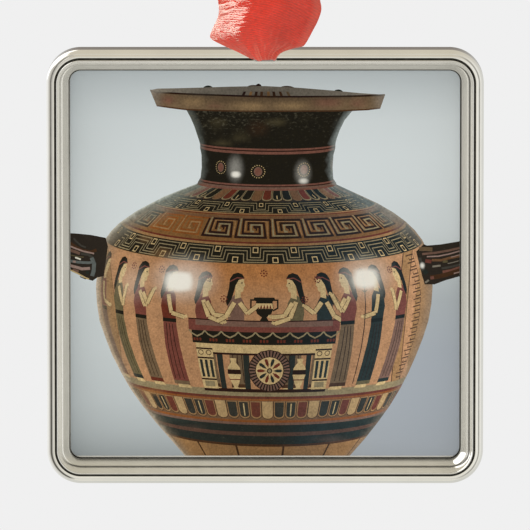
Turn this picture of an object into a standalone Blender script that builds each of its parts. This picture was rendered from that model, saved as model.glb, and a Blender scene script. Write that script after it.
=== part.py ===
"""A square metal picture ornament that hangs by a loop of satin ribbon.

A cast frame, closed at the back like a tray, holds a printed panel. The ribbon goes through a slot in
the frame's top bar. Metres, +Z up, and the picture faces -Y. The origin is the hanging point: the place
inside the top of the ribbon loop where a hook or a twig carries it.
"""

import math

import bmesh
import bpy
from mathutils import Vector

# Frame, seen from the front
FRAME_SIDE = 0.0603
FRAME_CORNER_RADIUS = 0.0047
OUTER_BAND_WIDTH = 0.00062
FRONT_BAND_WIDTH = 0.00046
GROOVE_WIDTH = 0.00028
BEAD_WIDTH = 0.00020
UPPER_SLOPE_WIDTH = 0.00056
CREASE_WIDTH = 0.00013
LOWER_SLOPE_WIDTH = 0.00068
NOTCH_WIDTH = 0.00010

# Frame, from its back face forward
BACK_EDGE_INSET = 0.0010
BACK_EDGE_HEIGHT = 0.0012
SIDE_HEIGHT = 0.0034
OUTER_BAND_RISE = 0.0009
FRONT_BAND_RISE = 0.0002
BEAD_HEIGHT = 0.0003
GROOVE_DEPTH = 0.00035
UPPER_SLOPE_DROP = 0.0017
CREASE_DROP = 0.00015
LOWER_SLOPE_DROP = 0.0014
NOTCH_DROP = 0.0001
SLOPE_BOW = 0.00004
CREASE_BOW = 0.00008
BACK_PLATE_THICKNESS = 0.0009

# Printed panel in the frame's recess
PANEL_THICKNESS = 0.0006
PANEL_SEAT_GAP = 0.0001
PANEL_EDGE_CLEARANCE = 0.00012
PANEL_BEVEL = 0.00008

# Ribbon
RIBBON_WIDTH = 0.0160
RIBBON_THICKNESS = 0.0005
BUNDLE_WIDTH = 0.0030
BUNDLE_THICKNESS = 0.0006
SLOT_CLEARANCE = 0.00015
SLOT_BAR = 0.0006
LOOP_DROP = 0.0520
ARCH_RADIUS = 0.0036
RIBBON_STAND_OFF = 0.0007

# Fineness of the faceted solids
CORNER_STEPS = 8
QUARTER_STEPS = 4
RIB_STEPS = 10
RIB_SPACING = 0.0015
FEWEST_STEPS = 2
ARCH_STEPS = 14

# The ribbon fans out of the slot. Each rib crosses it from its left edge to its right edge, and its middle
# stands forward of and above the edges. The first two numbers say how far each edge has spread, from the
# gathered bundle at 0 to the ribbon's whole width at 1. The others are shares of half the ribbon's width:
# the height of the left and right edge over the slot, how far the edges stand away from the frame, and how
# far the middle of the rib stands outside its edges and above them.
FAN_RIBS = (
    (0.08, 0.00, 0.03, 0.04, 0.006, 0.02, -0.03),
    (0.29, 0.13, 0.10, 0.14, 0.019, 0.08, -0.02),
    (0.53, 0.36, 0.18, 0.20, 0.025, 0.15, 0.00),
    (0.76, 0.54, 0.27, 0.23, 0.031, 0.21, 0.04),
    (0.89, 0.60, 0.33, 0.26, 0.037, 0.26, 0.10),
    (0.93, 0.69, 0.40, 0.38, 0.050, 0.30, 0.15),
    (0.87, 0.78, 0.53, 0.52, 0.069, 0.31, 0.18),
    (0.77, 0.88, 0.71, 0.68, 0.094, 0.28, 0.17),
    (0.74, 0.95, 0.85, 0.87, 0.119, 0.24, 0.15),
    (0.76, 0.92, 1.01, 1.03, 0.138, 0.20, 0.12),
)
# Higher up each leg hangs nearly flat: share of the way from the fan to the arch, how far the left and
# right edge have spread, how far the edges stand from the middle of the loop, as a share of the arch's
# radius, and how far the middle of the rib stands outside its edges, as a share of half the width.
LEG_RIBS = (
    (0.35, 0.88, 0.92, 1.19, 0.12),
    (0.72, 0.94, 0.96, 1.12, 0.05),
)
# The leg behind spreads a little less, and so does the ribbon over the arch.
BACK_SPREAD = 0.9
ARCH_SPREAD = 0.96
# By this spread the gathered folds have opened out, and the ribbon is no thicker than its own cloth.
OPENED_SPREAD = 0.33
# Faces that meet at a wider angle than this keep a crisp edge.
CRISP_ANGLE = 35


def recess_inset():
    """From the frame's outer edge to the wall of the recess that holds the panel."""
    mouldings = (OUTER_BAND_WIDTH, FRONT_BAND_WIDTH, GROOVE_WIDTH, BEAD_WIDTH, UPPER_SLOPE_WIDTH)
    return sum(mouldings) + CREASE_WIDTH + LOWER_SLOPE_WIDTH + NOTCH_WIDTH


def band_height():
    """From the back face to the inner edge of the front band."""
    return BACK_EDGE_HEIGHT + SIDE_HEIGHT + OUTER_BAND_RISE + FRONT_BAND_RISE


def frame_depth():
    """From the back face to the crest of the bead, the frame's foremost line."""
    return band_height() + BEAD_HEIGHT


def panel_face_height():
    """From the back face of the frame to the printed face of the panel."""
    return BACK_PLATE_THICKNESS + PANEL_SEAT_GAP + PANEL_THICKNESS


def slot_reach():
    """Half the slot's height: half the gathered ribbon and its clearance."""
    return BUNDLE_THICKNESS / 2 + SLOT_CLEARANCE


def slot_inset():
    """From the frame's outer edge to the middle of the ribbon slot."""
    return SLOT_BAR + slot_reach()


def frame_centre_z():
    return -LOOP_DROP + slot_inset() - FRAME_SIDE / 2


def depth_to_y(height):
    """World Y of a height measured forward from the frame's back face."""
    return frame_depth() / 2 - height


def curve_points(centre, reach, start, end, steps):
    """Points of an ellipse's arc, from one angle to another, in degrees, without its first point."""
    points = []
    for step in range(1, steps + 1):
        angle = math.radians(start + (end - start) * step / steps)
        points.append((centre[0] + reach[0] * math.cos(angle), centre[1] + reach[1] * math.sin(angle)))
    return points


def add_run(profile, width, drop, bow, steps):
    """Carry the profile inwards and down by one moulding, bowed out from the straight line to its end."""
    start_inset, start_height = profile[-1]
    length = math.hypot(width, drop)
    for step in range(1, steps + 1):
        share = step / steps
        swell = bow * math.sin(math.pi * share) / length
        profile.append(
            (start_inset + width * share + drop * swell, start_height - drop * share + width * swell)
        )


def frame_profile(steps):
    """(inset, height) along the frame's section, from the edge of the back face over the mouldings
    to the floor of the recess."""
    side_top = BACK_EDGE_HEIGHT + SIDE_HEIGHT
    band_end = OUTER_BAND_WIDTH + FRONT_BAND_WIDTH
    bead_middle = band_end + GROOVE_WIDTH + BEAD_WIDTH / 2
    profile = [(BACK_EDGE_INSET, 0)]
    profile += curve_points(
        (BACK_EDGE_INSET, BACK_EDGE_HEIGHT), (BACK_EDGE_INSET, BACK_EDGE_HEIGHT), 270, 180, steps
    )
    profile.append((0, side_top))
    profile += curve_points((OUTER_BAND_WIDTH, side_top), (OUTER_BAND_WIDTH, OUTER_BAND_RISE), 180, 90, steps)
    profile += curve_points(
        (band_end, band_height() - FRONT_BAND_RISE), (FRONT_BAND_WIDTH, FRONT_BAND_RISE), 180, 90, steps
    )
    profile += curve_points(
        (band_end + GROOVE_WIDTH / 2, band_height()), (GROOVE_WIDTH / 2, GROOVE_DEPTH), 180, 360, steps
    )
    profile += curve_points((bead_middle, band_height()), (BEAD_WIDTH / 2, BEAD_HEIGHT), 180, 0, steps)
    add_run(profile, UPPER_SLOPE_WIDTH, UPPER_SLOPE_DROP, SLOPE_BOW, steps)
    add_run(profile, CREASE_WIDTH, CREASE_DROP, -CREASE_BOW, steps)
    add_run(profile, LOWER_SLOPE_WIDTH, LOWER_SLOPE_DROP, SLOPE_BOW, steps)
    add_run(profile, NOTCH_WIDTH, NOTCH_DROP, -CREASE_BOW, steps)
    profile.append((recess_inset(), BACK_PLATE_THICKNESS))
    return profile


def rounded_square(inset, y, corner_steps):
    """A ring at one inset from the frame's outer edge, in the plane of that y."""
    half = FRAME_SIDE / 2 - inset
    radius = FRAME_CORNER_RADIUS - inset
    ring = []
    for quarter in range(4):
        middle = math.radians(45 + 90 * quarter)
        corner_x = math.copysign(half - radius, math.cos(middle))
        corner_z = math.copysign(half - radius, math.sin(middle)) + frame_centre_z()
        for step in range(corner_steps + 1):
            angle = math.radians(90 * (quarter + step / corner_steps))
            ring.append(Vector((corner_x + radius * math.cos(angle), y, corner_z + radius * math.sin(angle))))
    return ring


def mesh_of_rings(name, rings):
    """A closed solid lofted through rings that have the same number of points, with a flat face at each end."""
    bm = bmesh.new()
    rows = [[bm.verts.new(point) for point in ring] for ring in rings]
    for row, following in zip(rows, rows[1:]):
        for index in range(len(row)):
            beyond = (index + 1) % len(row)
            bm.faces.new((row[index], row[beyond], following[beyond], following[index]))
    bm.faces.new(rows[0])
    bm.faces.new(rows[-1])
    bmesh.ops.recalc_face_normals(bm, faces=bm.faces)
    mesh = bpy.data.meshes.new(name)
    bm.to_mesh(mesh)
    bm.free()
    return mesh


def add_object(name, mesh, material):
    thing = bpy.data.objects.new(name, mesh)
    bpy.context.scene.collection.objects.link(thing)
    if material:
        mesh.materials.append(material)
        mesh.shade_smooth()
        mesh.set_sharp_from_angle(angle=math.radians(CRISP_ANGLE))
    return thing


def principled(name, colour, metallic, roughness):
    material = bpy.data.materials.new(name)
    material.use_nodes = True
    shader = material.node_tree.nodes["Principled BSDF"]
    shader.inputs["Base Color"].default_value = (*colour, 1)
    shader.inputs["Metallic"].default_value = metallic
    shader.inputs["Roughness"].default_value = roughness
    return material


def slot_cutter():
    """A bar with round ends, run clear through the frame where the ribbon passes."""
    half_length = BUNDLE_WIDTH / 2 + SLOT_CLEARANCE
    half_height = slot_reach()
    rings = []
    for y in (-frame_depth(), frame_depth()):
        ring = []
        for end, start_angle in ((1, -90), (-1, 90)):
            centre_x = end * (half_length - half_height)
            for step in range(QUARTER_STEPS * 2 + 1):
                angle = math.radians(start_angle + 90 * step / QUARTER_STEPS)
                x = centre_x + half_height * math.cos(angle)
                ring.append(Vector((x, y, -LOOP_DROP + half_height * math.sin(angle))))
        rings.append(ring)
    cutter = add_object("slot_cutter", mesh_of_rings("slot_cutter", rings), None)
    cutter.hide_render = True
    cutter.display_type = "WIRE"
    return cutter


def make_frame():
    rings = [
        rounded_square(inset, depth_to_y(height), CORNER_STEPS)
        for inset, height in frame_profile(QUARTER_STEPS)
    ]
    silver = principled("silver_plate", (0.78, 0.76, 0.70), 1.0, 0.12)
    frame = add_object("frame", mesh_of_rings("frame", rings), silver)
    cut = frame.modifiers.new("slot", "BOOLEAN")
    cut.operation = "DIFFERENCE"
    cut.solver = "EXACT"
    cut.object = slot_cutter()


def make_panel():
    edge = recess_inset() + PANEL_EDGE_CLEARANCE
    back_y = depth_to_y(BACK_PLATE_THICKNESS + PANEL_SEAT_GAP)
    front_y = depth_to_y(panel_face_height())
    rings = [
        rounded_square(edge, back_y, CORNER_STEPS),
        rounded_square(edge, front_y + PANEL_BEVEL, CORNER_STEPS),
        rounded_square(edge + PANEL_BEVEL, front_y, CORNER_STEPS),
    ]
    print_coat = principled("printed_panel", (0.45, 0.40, 0.34), 0.0, 0.25)
    add_object("picture_panel", mesh_of_rings("picture_panel", rings), print_coat)


def spread_to_x(spread):
    """How far an edge of the ribbon lies from its middle, from the gathered bundle to the full width."""
    return BUNDLE_WIDTH / 2 + (RIBBON_WIDTH - BUNDLE_WIDTH) / 2 * spread


def leg_ribs(side, mouth, spread_share):
    """The ribs of one leg, from the mouth of the slot up to the arch: left edge, right edge, and how far
    the middle stands off them. side is -1 in front and 1 behind, and mouth is how far the metal reaches
    there from the middle of the frame."""
    half_width = RIBBON_WIDTH / 2
    bundle = BUNDLE_WIDTH / 2
    y = side * mouth
    ribs = [(Vector((-bundle, y, -LOOP_DROP)), Vector((bundle, y, -LOOP_DROP)), Vector())]
    for left, right, left_up, right_up, out, middle_out, middle_up in FAN_RIBS:
        y = side * (mouth + RIBBON_STAND_OFF + half_width * out)
        ribs.append(
            (
                Vector((-spread_to_x(left * spread_share), y, -LOOP_DROP + half_width * left_up)),
                Vector((spread_to_x(right * spread_share), y, -LOOP_DROP + half_width * right_up)),
                Vector((0, side * half_width * middle_out, half_width * middle_up)),
            )
        )
    fan_top = ribs[-1][0].z
    arch_foot = RIBBON_THICKNESS / 2 - ARCH_RADIUS
    for way, left, right, out, middle_out in LEG_RIBS:
        y = side * ARCH_RADIUS * out
        z = fan_top + (arch_foot - fan_top) * way
        ribs.append(
            (
                Vector((-spread_to_x(left), y, z)),
                Vector((spread_to_x(right), y, z)),
                Vector((0, side * half_width * middle_out, 0)),
            )
        )
    return ribs


def arch_ribs():
    """The ribs over the top of the loop, where it hangs on its hook, from the front to the back."""
    centre_z = RIBBON_THICKNESS / 2 - ARCH_RADIUS
    edge = spread_to_x(ARCH_SPREAD)
    ribs = []
    for step in range(ARCH_STEPS + 1):
        angle = math.pi * step / ARCH_STEPS
        y = -ARCH_RADIUS * math.cos(angle)
        z = centre_z + ARCH_RADIUS * math.sin(angle)
        ribs.append((Vector((-edge, y, z)), Vector((edge, y, z)), Vector()))
    return ribs


def smooth_between(points, gaps, share):
    """A point of the smooth curve between the middle two of four points with those gaps between them."""
    before, start, end, after = points
    gap_before, gap, gap_after = gaps
    run = (end - start) / gap
    start_slope = ((start - before) / gap_before * gap + run * gap_before) / (gap_before + gap)
    end_slope = (run * gap_after + (after - end) / gap_after * gap) / (gap + gap_after)
    return (
        start * (1 - 3 * share**2 + 2 * share**3)
        + end * (3 * share**2 - 2 * share**3)
        + start_slope * gap * (share - 2 * share**2 + share**3)
        + end_slope * gap * (share**3 - share**2)
    )


def ribbon_ribs():
    """Every rib once round the loop: up the front leg, over the arch, down the back and through the slot."""
    front = leg_ribs(-1, -depth_to_y(band_height()), 1)
    back = leg_ribs(1, frame_depth() / 2, BACK_SPREAD)
    keys = front + arch_ribs() + back[::-1]
    middles = [rib_point(key, 0) for key in keys]
    ribs = []
    for index in range(len(keys)):
        places = [(index + offset) % len(keys) for offset in (-1, 0, 1, 2)]
        gaps = [(middles[a] - middles[b]).length for a, b in zip(places, places[1:])]
        steps = max(FEWEST_STEPS, round(gaps[1] / RIB_SPACING))
        corners = list(zip(*[keys[place] for place in places]))
        for step in range(steps):
            share = step / steps
            if index == len(keys) - 1:
                # The run through the slot stays straight.
                ribs.append(tuple(points[1].lerp(points[2], share) for points in corners))
            else:
                ribs.append(tuple(smooth_between(points, gaps, share) for points in corners))
    return ribs


def rib_point(rib, across):
    """A point of a rib, from its left edge at -1 to its right edge at 1."""
    left, right, middle = rib
    return left.lerp(right, (across + 1) / 2) + middle * (1 - across**2)


def ribbon_thickness(rib):
    """The gathered bundle is thicker than the ribbon where it lies spread."""
    spread = ((rib[1] - rib[0]).length - BUNDLE_WIDTH) / (RIBBON_WIDTH - BUNDLE_WIDTH)
    share = min(1, max(0, spread / OPENED_SPREAD))
    return BUNDLE_THICKNESS + (RIBBON_THICKNESS - BUNDLE_THICKNESS) * share


def make_ribbon():
    ribs = ribbon_ribs()
    count = len(ribs)
    stations = [-1 + 2 * step / RIB_STEPS for step in range(RIB_STEPS + 1)]
    grid = [[rib_point(rib, across) for across in stations] for rib in ribs]
    bm = bmesh.new()
    rows = []
    for index, rib in enumerate(ribs):
        before, here, after = grid[index - 1], grid[index], grid[(index + 1) % count]
        outer, inner = [], []
        for station, point in enumerate(here):
            along = after[station] - before[station]
            beside = here[min(station + 1, RIB_STEPS)] - here[max(station - 1, 0)]
            offset = along.cross(beside).normalized() * ribbon_thickness(rib) / 2
            outer.append(bm.verts.new(point + offset))
            inner.append(bm.verts.new(point - offset))
        rows.append(outer + inner[::-1])
    for index in range(count):
        row, following = rows[index], rows[(index + 1) % count]
        for corner in range(len(row)):
            beyond = (corner + 1) % len(row)
            bm.faces.new((row[corner], row[beyond], following[beyond], following[corner]))
    bmesh.ops.recalc_face_normals(bm, faces=bm.faces)
    mesh = bpy.data.meshes.new("ribbon")
    bm.to_mesh(mesh)
    bm.free()
    satin = principled("satin_ribbon", (0.72, 0.09, 0.07), 0.0, 0.45)
    add_object("ribbon", mesh, satin)


def main():
    for thing in list(bpy.data.objects):
        bpy.data.objects.remove(thing)
    make_frame()
    make_panel()
    make_ribbon()


main()
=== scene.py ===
"""The look of a square silver-plated picture ornament that hangs by a loop of coral satin ribbon.

Metres, +Z up, and the picture faces -Y. The origin is the hanging point inside the top of the loop.
The sizes and the shapes that they drive are the part's own.
"""

import math

import bmesh
import bpy
import numpy
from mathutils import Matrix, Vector
from mathutils.geometry import delaunay_2d_cdt

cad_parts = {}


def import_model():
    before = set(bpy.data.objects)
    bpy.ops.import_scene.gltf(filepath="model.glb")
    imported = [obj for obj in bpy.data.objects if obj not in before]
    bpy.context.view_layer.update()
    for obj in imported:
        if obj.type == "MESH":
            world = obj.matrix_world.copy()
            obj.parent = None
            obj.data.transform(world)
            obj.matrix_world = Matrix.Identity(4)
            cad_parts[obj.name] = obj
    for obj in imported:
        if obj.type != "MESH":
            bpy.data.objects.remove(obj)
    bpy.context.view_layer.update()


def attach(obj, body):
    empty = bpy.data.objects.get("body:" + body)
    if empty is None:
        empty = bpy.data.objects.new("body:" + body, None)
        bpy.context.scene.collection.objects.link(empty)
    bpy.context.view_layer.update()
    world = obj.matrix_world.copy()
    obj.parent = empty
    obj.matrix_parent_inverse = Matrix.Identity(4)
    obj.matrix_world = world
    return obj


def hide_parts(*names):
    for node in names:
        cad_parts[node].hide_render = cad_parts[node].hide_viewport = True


# Frame, seen from the front
FRAME_SIDE = 0.0603
FRAME_CORNER_RADIUS = 0.0047
OUTER_BAND_WIDTH = 0.00062
FRONT_BAND_WIDTH = 0.00046
GROOVE_WIDTH = 0.00028
BEAD_WIDTH = 0.00020
UPPER_SLOPE_WIDTH = 0.00056
CREASE_WIDTH = 0.00013
LOWER_SLOPE_WIDTH = 0.00068
NOTCH_WIDTH = 0.00010

# Frame, from its back face forward
BACK_EDGE_INSET = 0.0010
BACK_EDGE_HEIGHT = 0.0012
SIDE_HEIGHT = 0.0034
OUTER_BAND_RISE = 0.0009
FRONT_BAND_RISE = 0.0002
BEAD_HEIGHT = 0.0003
GROOVE_DEPTH = 0.00035
UPPER_SLOPE_DROP = 0.0017
CREASE_DROP = 0.00015
LOWER_SLOPE_DROP = 0.0014
NOTCH_DROP = 0.0001
SLOPE_BOW = 0.00004
CREASE_BOW = 0.00008
BACK_PLATE_THICKNESS = 0.0009

# Printed panel
PANEL_THICKNESS = 0.0006
PANEL_SEAT_GAP = 0.0001
PANEL_EDGE_CLEARANCE = 0.00012
PANEL_BEVEL = 0.00008

# Ribbon
RIBBON_WIDTH = 0.0160
BUNDLE_WIDTH = 0.0030
BUNDLE_THICKNESS = 0.0006
SLOT_CLEARANCE = 0.00015
SLOT_BAR = 0.0006
LOOP_DROP = 0.0520
ARCH_RADIUS = 0.0036
RIBBON_STAND_OFF = 0.0007
# The part's ribbon is a solid, which is thicker than the cloth.
SOLID_THICKNESS = 0.0005
CLOTH_THICKNESS = 0.00022

# Fineness of the meshes
CORNER_STEPS = 24
PROFILE_STEPS = 10
SLOT_STEPS = 8
ACROSS_STEPS = 56
ROW_SPACING = 0.00032
FEWEST_STEPS = 2
ARCH_STEPS = 14

# The ribs that the ribbon is drawn through, as in the part: spread of the left and right edge, their height
# over the slot, how far they stand off the frame, and how far the middle stands out and up.
FAN_RIBS = (
    (0.08, 0.00, 0.03, 0.04, 0.006, 0.02, -0.03),
    (0.29, 0.13, 0.10, 0.14, 0.019, 0.08, -0.02),
    (0.53, 0.36, 0.18, 0.20, 0.025, 0.15, 0.00),
    (0.76, 0.54, 0.27, 0.23, 0.031, 0.21, 0.04),
    (0.89, 0.60, 0.33, 0.26, 0.037, 0.26, 0.10),
    (0.93, 0.69, 0.40, 0.38, 0.050, 0.30, 0.15),
    (0.87, 0.78, 0.53, 0.52, 0.069, 0.31, 0.18),
    (0.77, 0.88, 0.71, 0.68, 0.094, 0.28, 0.17),
    (0.74, 0.95, 0.85, 0.87, 0.119, 0.24, 0.15),
    (0.76, 0.92, 1.01, 1.03, 0.138, 0.20, 0.12),
)
LEG_RIBS = (
    (0.35, 0.88, 0.92, 1.19, 0.12),
    (0.72, 0.94, 0.96, 1.12, 0.05),
)
BACK_SPREAD = 0.9
ARCH_SPREAD = 0.96
OPENED_SPREAD = 0.33
CRISP_ANGLE = 35
FAN_HEIGHT_SHARE = 0.85

# Camera, in front of the frame's centre and a little above it
CAMERA_ELEVATION = 7.0
CAMERA_DISTANCE = 1.5
SENSOR_WIDTH = 36
LENS = 737.2
CAMERA_AIM = (-0.000007, 0.000048)
CLIP_START = 0.05

BACKGROUND_GREY = 0.871
FLOOR_DROP = 0.30
FLOOR_SIDE = 3.0

# Where the marks of one bar start and are whole, from the frame's middle
BAR_START = 0.0262
BAR_END = 0.0280
# Dark lines: half width of the outer step's, how far the crease's lies outside the crease on the right and
# on the left bar, and the heights over which, on the left bar, the crease's fades in, the foot's painted
# shade is left out and the step's grows
STEP_WIDTH = 0.00016
RIGHT_CREASE_ASIDE = 0.00026
LEFT_CREASE_ASIDE = 0.00030
FAINT_CREASE = (-0.015, 0.004)
UNSHADED_FOOT = ((0.024, 0.010), (-0.0245, -0.0220))
STEP_GROWTH = (0.004, -0.024)


def bead_end_inset():
    return OUTER_BAND_WIDTH + FRONT_BAND_WIDTH + GROOVE_WIDTH + BEAD_WIDTH


def crease_inset():
    return bead_end_inset() + UPPER_SLOPE_WIDTH + CREASE_WIDTH * 0.6


def recess_inset():
    return bead_end_inset() + UPPER_SLOPE_WIDTH + CREASE_WIDTH + LOWER_SLOPE_WIDTH + NOTCH_WIDTH


def band_height():
    return BACK_EDGE_HEIGHT + SIDE_HEIGHT + OUTER_BAND_RISE + FRONT_BAND_RISE


def frame_depth():
    return band_height() + BEAD_HEIGHT


def panel_face_height():
    return BACK_PLATE_THICKNESS + PANEL_SEAT_GAP + PANEL_THICKNESS


def slot_reach():
    return BUNDLE_THICKNESS / 2 + SLOT_CLEARANCE


def frame_centre_z():
    return -LOOP_DROP + SLOT_BAR + slot_reach() - FRAME_SIDE / 2


def depth_to_y(height):
    return frame_depth() / 2 - height


def curve_points(centre, reach, start, end, steps):
    points = []
    for step in range(1, steps + 1):
        angle = math.radians(start + (end - start) * step / steps)
        points.append((centre[0] + reach[0] * math.cos(angle), centre[1] + reach[1] * math.sin(angle)))
    return points


def add_run(profile, width, drop, bow, steps):
    start_inset, start_height = profile[-1]
    length = math.hypot(width, drop)
    for step in range(1, steps + 1):
        share = step / steps
        swell = bow * math.sin(math.pi * share) / length
        profile.append(
            (start_inset + width * share + drop * swell, start_height - drop * share + width * swell)
        )


def frame_profile(steps):
    """(inset, height) from the edge of the back face over the mouldings to the floor of the recess."""
    side_top = BACK_EDGE_HEIGHT + SIDE_HEIGHT
    band_end = OUTER_BAND_WIDTH + FRONT_BAND_WIDTH
    bead_middle = band_end + GROOVE_WIDTH + BEAD_WIDTH / 2
    profile = [(BACK_EDGE_INSET, 0)]
    profile += curve_points(
        (BACK_EDGE_INSET, BACK_EDGE_HEIGHT), (BACK_EDGE_INSET, BACK_EDGE_HEIGHT), 270, 180, steps
    )
    profile.append((0, side_top))
    profile += curve_points((OUTER_BAND_WIDTH, side_top), (OUTER_BAND_WIDTH, OUTER_BAND_RISE), 180, 90, steps)
    profile += curve_points(
        (band_end, band_height() - FRONT_BAND_RISE), (FRONT_BAND_WIDTH, FRONT_BAND_RISE), 180, 90, steps
    )
    profile += curve_points(
        (band_end + GROOVE_WIDTH / 2, band_height()), (GROOVE_WIDTH / 2, GROOVE_DEPTH), 180, 360, steps
    )
    profile += curve_points((bead_middle, band_height()), (BEAD_WIDTH / 2, BEAD_HEIGHT), 180, 0, steps)
    add_run(profile, UPPER_SLOPE_WIDTH, UPPER_SLOPE_DROP, SLOPE_BOW, steps)
    add_run(profile, CREASE_WIDTH, CREASE_DROP, -CREASE_BOW, steps)
    add_run(profile, LOWER_SLOPE_WIDTH, LOWER_SLOPE_DROP, SLOPE_BOW, steps)
    add_run(profile, NOTCH_WIDTH, NOTCH_DROP, -CREASE_BOW, steps)
    profile.append((recess_inset(), BACK_PLATE_THICKNESS))
    return profile


def rounded_square(inset, y, corner_steps):
    half = FRAME_SIDE / 2 - inset
    radius = FRAME_CORNER_RADIUS - inset
    ring = []
    for quarter in range(4):
        middle = math.radians(45 + 90 * quarter)
        corner_x = math.copysign(half - radius, math.cos(middle))
        corner_z = math.copysign(half - radius, math.sin(middle)) + frame_centre_z()
        for step in range(corner_steps + 1):
            angle = math.radians(90 * (quarter + step / corner_steps))
            ring.append(Vector((corner_x + radius * math.cos(angle), y, corner_z + radius * math.sin(angle))))
    return ring


def mesh_from(bm, name):
    mesh = bpy.data.meshes.new(name)
    bm.to_mesh(mesh)
    bm.free()
    return mesh


def mesh_of_rings(name, rings):
    bm = bmesh.new()
    rows = [[bm.verts.new(point) for point in ring] for ring in rings]
    for row, following in zip(rows, rows[1:]):
        for index in range(len(row)):
            beyond = (index + 1) % len(row)
            bm.faces.new((row[index], row[beyond], following[beyond], following[index]))
    bm.faces.new(rows[0])
    bm.faces.new(rows[-1])
    bmesh.ops.recalc_face_normals(bm, faces=bm.faces)
    return mesh_from(bm, name)


def add_object(name, mesh, *materials):
    thing = bpy.data.objects.new(name, mesh)
    bpy.context.scene.collection.objects.link(thing)
    for material in materials:
        mesh.materials.append(material)
    mesh.shade_smooth()
    mesh.set_sharp_from_angle(angle=math.radians(CRISP_ANGLE))
    return thing


class Nodes:
    """Adds nodes to one tree. A socket given as a node's output is linked, and anything else is its value."""

    def __init__(self, tree):
        self.tree = tree

    def add(self, kind, inputs=None, **settings):
        node = self.tree.nodes.new(kind)
        for key, value in settings.items():
            setattr(node, key, value)
        for key, value in (inputs or {}).items():
            if isinstance(value, bpy.types.NodeSocket):
                self.tree.links.new(value, node.inputs[key])
            else:
                node.inputs[key].default_value = value
        return node

    def math(self, operation, *values, clamp=False):
        inputs = dict(enumerate(values))
        return self.add("ShaderNodeMath", inputs, operation=operation, use_clamp=clamp).outputs[0]

    def times(self, first, second, clamp=False):
        return self.math("MULTIPLY", first, second, clamp=clamp)

    def plus(self, first, second):
        return self.math("ADD", first, second)

    def minus(self, first, second, clamp=False):
        return self.math("SUBTRACT", first, second, clamp=clamp)

    def larger(self, first, second):
        return self.math("MAXIMUM", first, second)

    def scaled(self, value, factor, offset):
        """The value times the factor, plus the offset."""
        return self.math("MULTIPLY_ADD", value, factor, offset)

    def mix(self, share, first, second, blend="MIX"):
        inputs = {0: share, 6: first, 7: second}
        return self.add("ShaderNodeMix", inputs, data_type="RGBA", blend_type=blend).outputs[2]

    def ramp(self, share, stops):
        """A colour ramp with (place, colour or grey) stops."""
        node = self.add("ShaderNodeValToRGB", {"Fac": share})
        elements = node.color_ramp.elements
        while len(elements) < len(stops):
            elements.new(1.0)
        for element, (place, tone) in zip(elements, stops):
            element.position = place
            element.color = (*tone, 1) if isinstance(tone, tuple) else (tone, tone, tone, 1)
        return node.outputs["Color"]

    def noise(self, vector, scale, detail=2.0, roughness=0.5):
        inputs = {"Vector": vector, "Scale": scale, "Detail": detail, "Roughness": roughness}
        return self.add("ShaderNodeTexNoise", inputs).outputs["Fac"]

    def bump(self, height, distance):
        return self.add("ShaderNodeBump", {"Height": height, "Distance": distance}).outputs["Normal"]

    def position(self):
        return self.add("ShaderNodeNewGeometry").outputs["Position"]

    def parts(self, vector):
        """The X, Y and Z of a vector."""
        node = self.add("ShaderNodeSeparateXYZ", {"Vector": vector})
        return [node.outputs[axis] for axis in "XYZ"]

    def stretched(self, vector, scale):
        return self.add("ShaderNodeMapping", {"Vector": vector, "Scale": scale}).outputs[0]

    def grey(self, value):
        return self.add("ShaderNodeCombineColor", {0: value, 1: value, 2: value}).outputs[0]


def new_material(name):
    material = bpy.data.materials.new(name)
    material.use_nodes = True
    return material, Nodes(material.node_tree), material.node_tree.nodes["Principled BSDF"]


def connect(nodes, output, shader, socket):
    nodes.tree.links.new(output, shader.inputs[socket])


def from_centre(nodes, position):
    """How far a place lies to the right of the frame's middle, and above it."""
    sideways, _, height = nodes.parts(position)
    return sideways, nodes.minus(height, frame_centre_z())


def inset_from_edge(nodes, position):
    """Distance from the frame's outer edge inwards, the same all along a moulding, corners included."""
    sideways, upwards = from_centre(nodes, position)
    flat = FRAME_SIDE / 2 - FRAME_CORNER_RADIUS
    beyond_x = nodes.minus(nodes.math("ABSOLUTE", sideways), flat)
    beyond_z = nodes.minus(nodes.math("ABSOLUTE", upwards), flat)
    outer_x = nodes.larger(beyond_x, 0.0)
    outer_z = nodes.larger(beyond_z, 0.0)
    corner = nodes.math("SQRT", nodes.plus(nodes.times(outer_x, outer_x), nodes.times(outer_z, outer_z)))
    inner = nodes.math("MINIMUM", nodes.larger(beyond_x, beyond_z), 0.0)
    return nodes.minus(FRAME_CORNER_RADIUS, nodes.plus(corner, inner))


def line_mask(nodes, inset, centre, half_width):
    """1 on the line at that inset, fading to 0 at its sides."""
    away = nodes.math("ABSOLUTE", nodes.minus(inset, centre))
    return nodes.minus(1.0, nodes.math("DIVIDE", away, half_width), clamp=True)


def ranged(nodes, value, start, end):
    """0 at start and before it, 1 at end and beyond it."""
    return nodes.add("ShaderNodeMapRange", {"Value": value, 1: start, 2: end}).outputs["Result"]


def bar_weights(nodes, position):
    """How far a place belongs to the left, the right and the bottom bar, each 0 to 1."""
    sideways, upwards = from_centre(nodes, position)
    return (
        ranged(nodes, sideways, -BAR_START, -BAR_END),
        ranged(nodes, sideways, BAR_START, BAR_END),
        ranged(nodes, upwards, -BAR_START, -BAR_END),
    )


def crease_dark_line(nodes, inset, upwards, bars):
    """A dark line by the crease, farther out on the side bars and fainter down the lower half of the left
    one.
    """
    left, right, bottom = bars
    middle = nodes.scaled(right, -RIGHT_CREASE_ASIDE, crease_inset())
    middle = nodes.scaled(left, -LEFT_CREASE_ASIDE, middle)
    strong = nodes.scaled(right, 1.5, nodes.scaled(bottom, 1.0, 0.50))
    worn_and_faded = nodes.scaled(ranged(nodes, upwards, *FAINT_CREASE), -0.60, 0.50)
    strength = nodes.minus(strong, nodes.times(left, worn_and_faded))
    return nodes.times(line_mask(nodes, inset, middle, CREASE_WIDTH * 1.1), strength)


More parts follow.
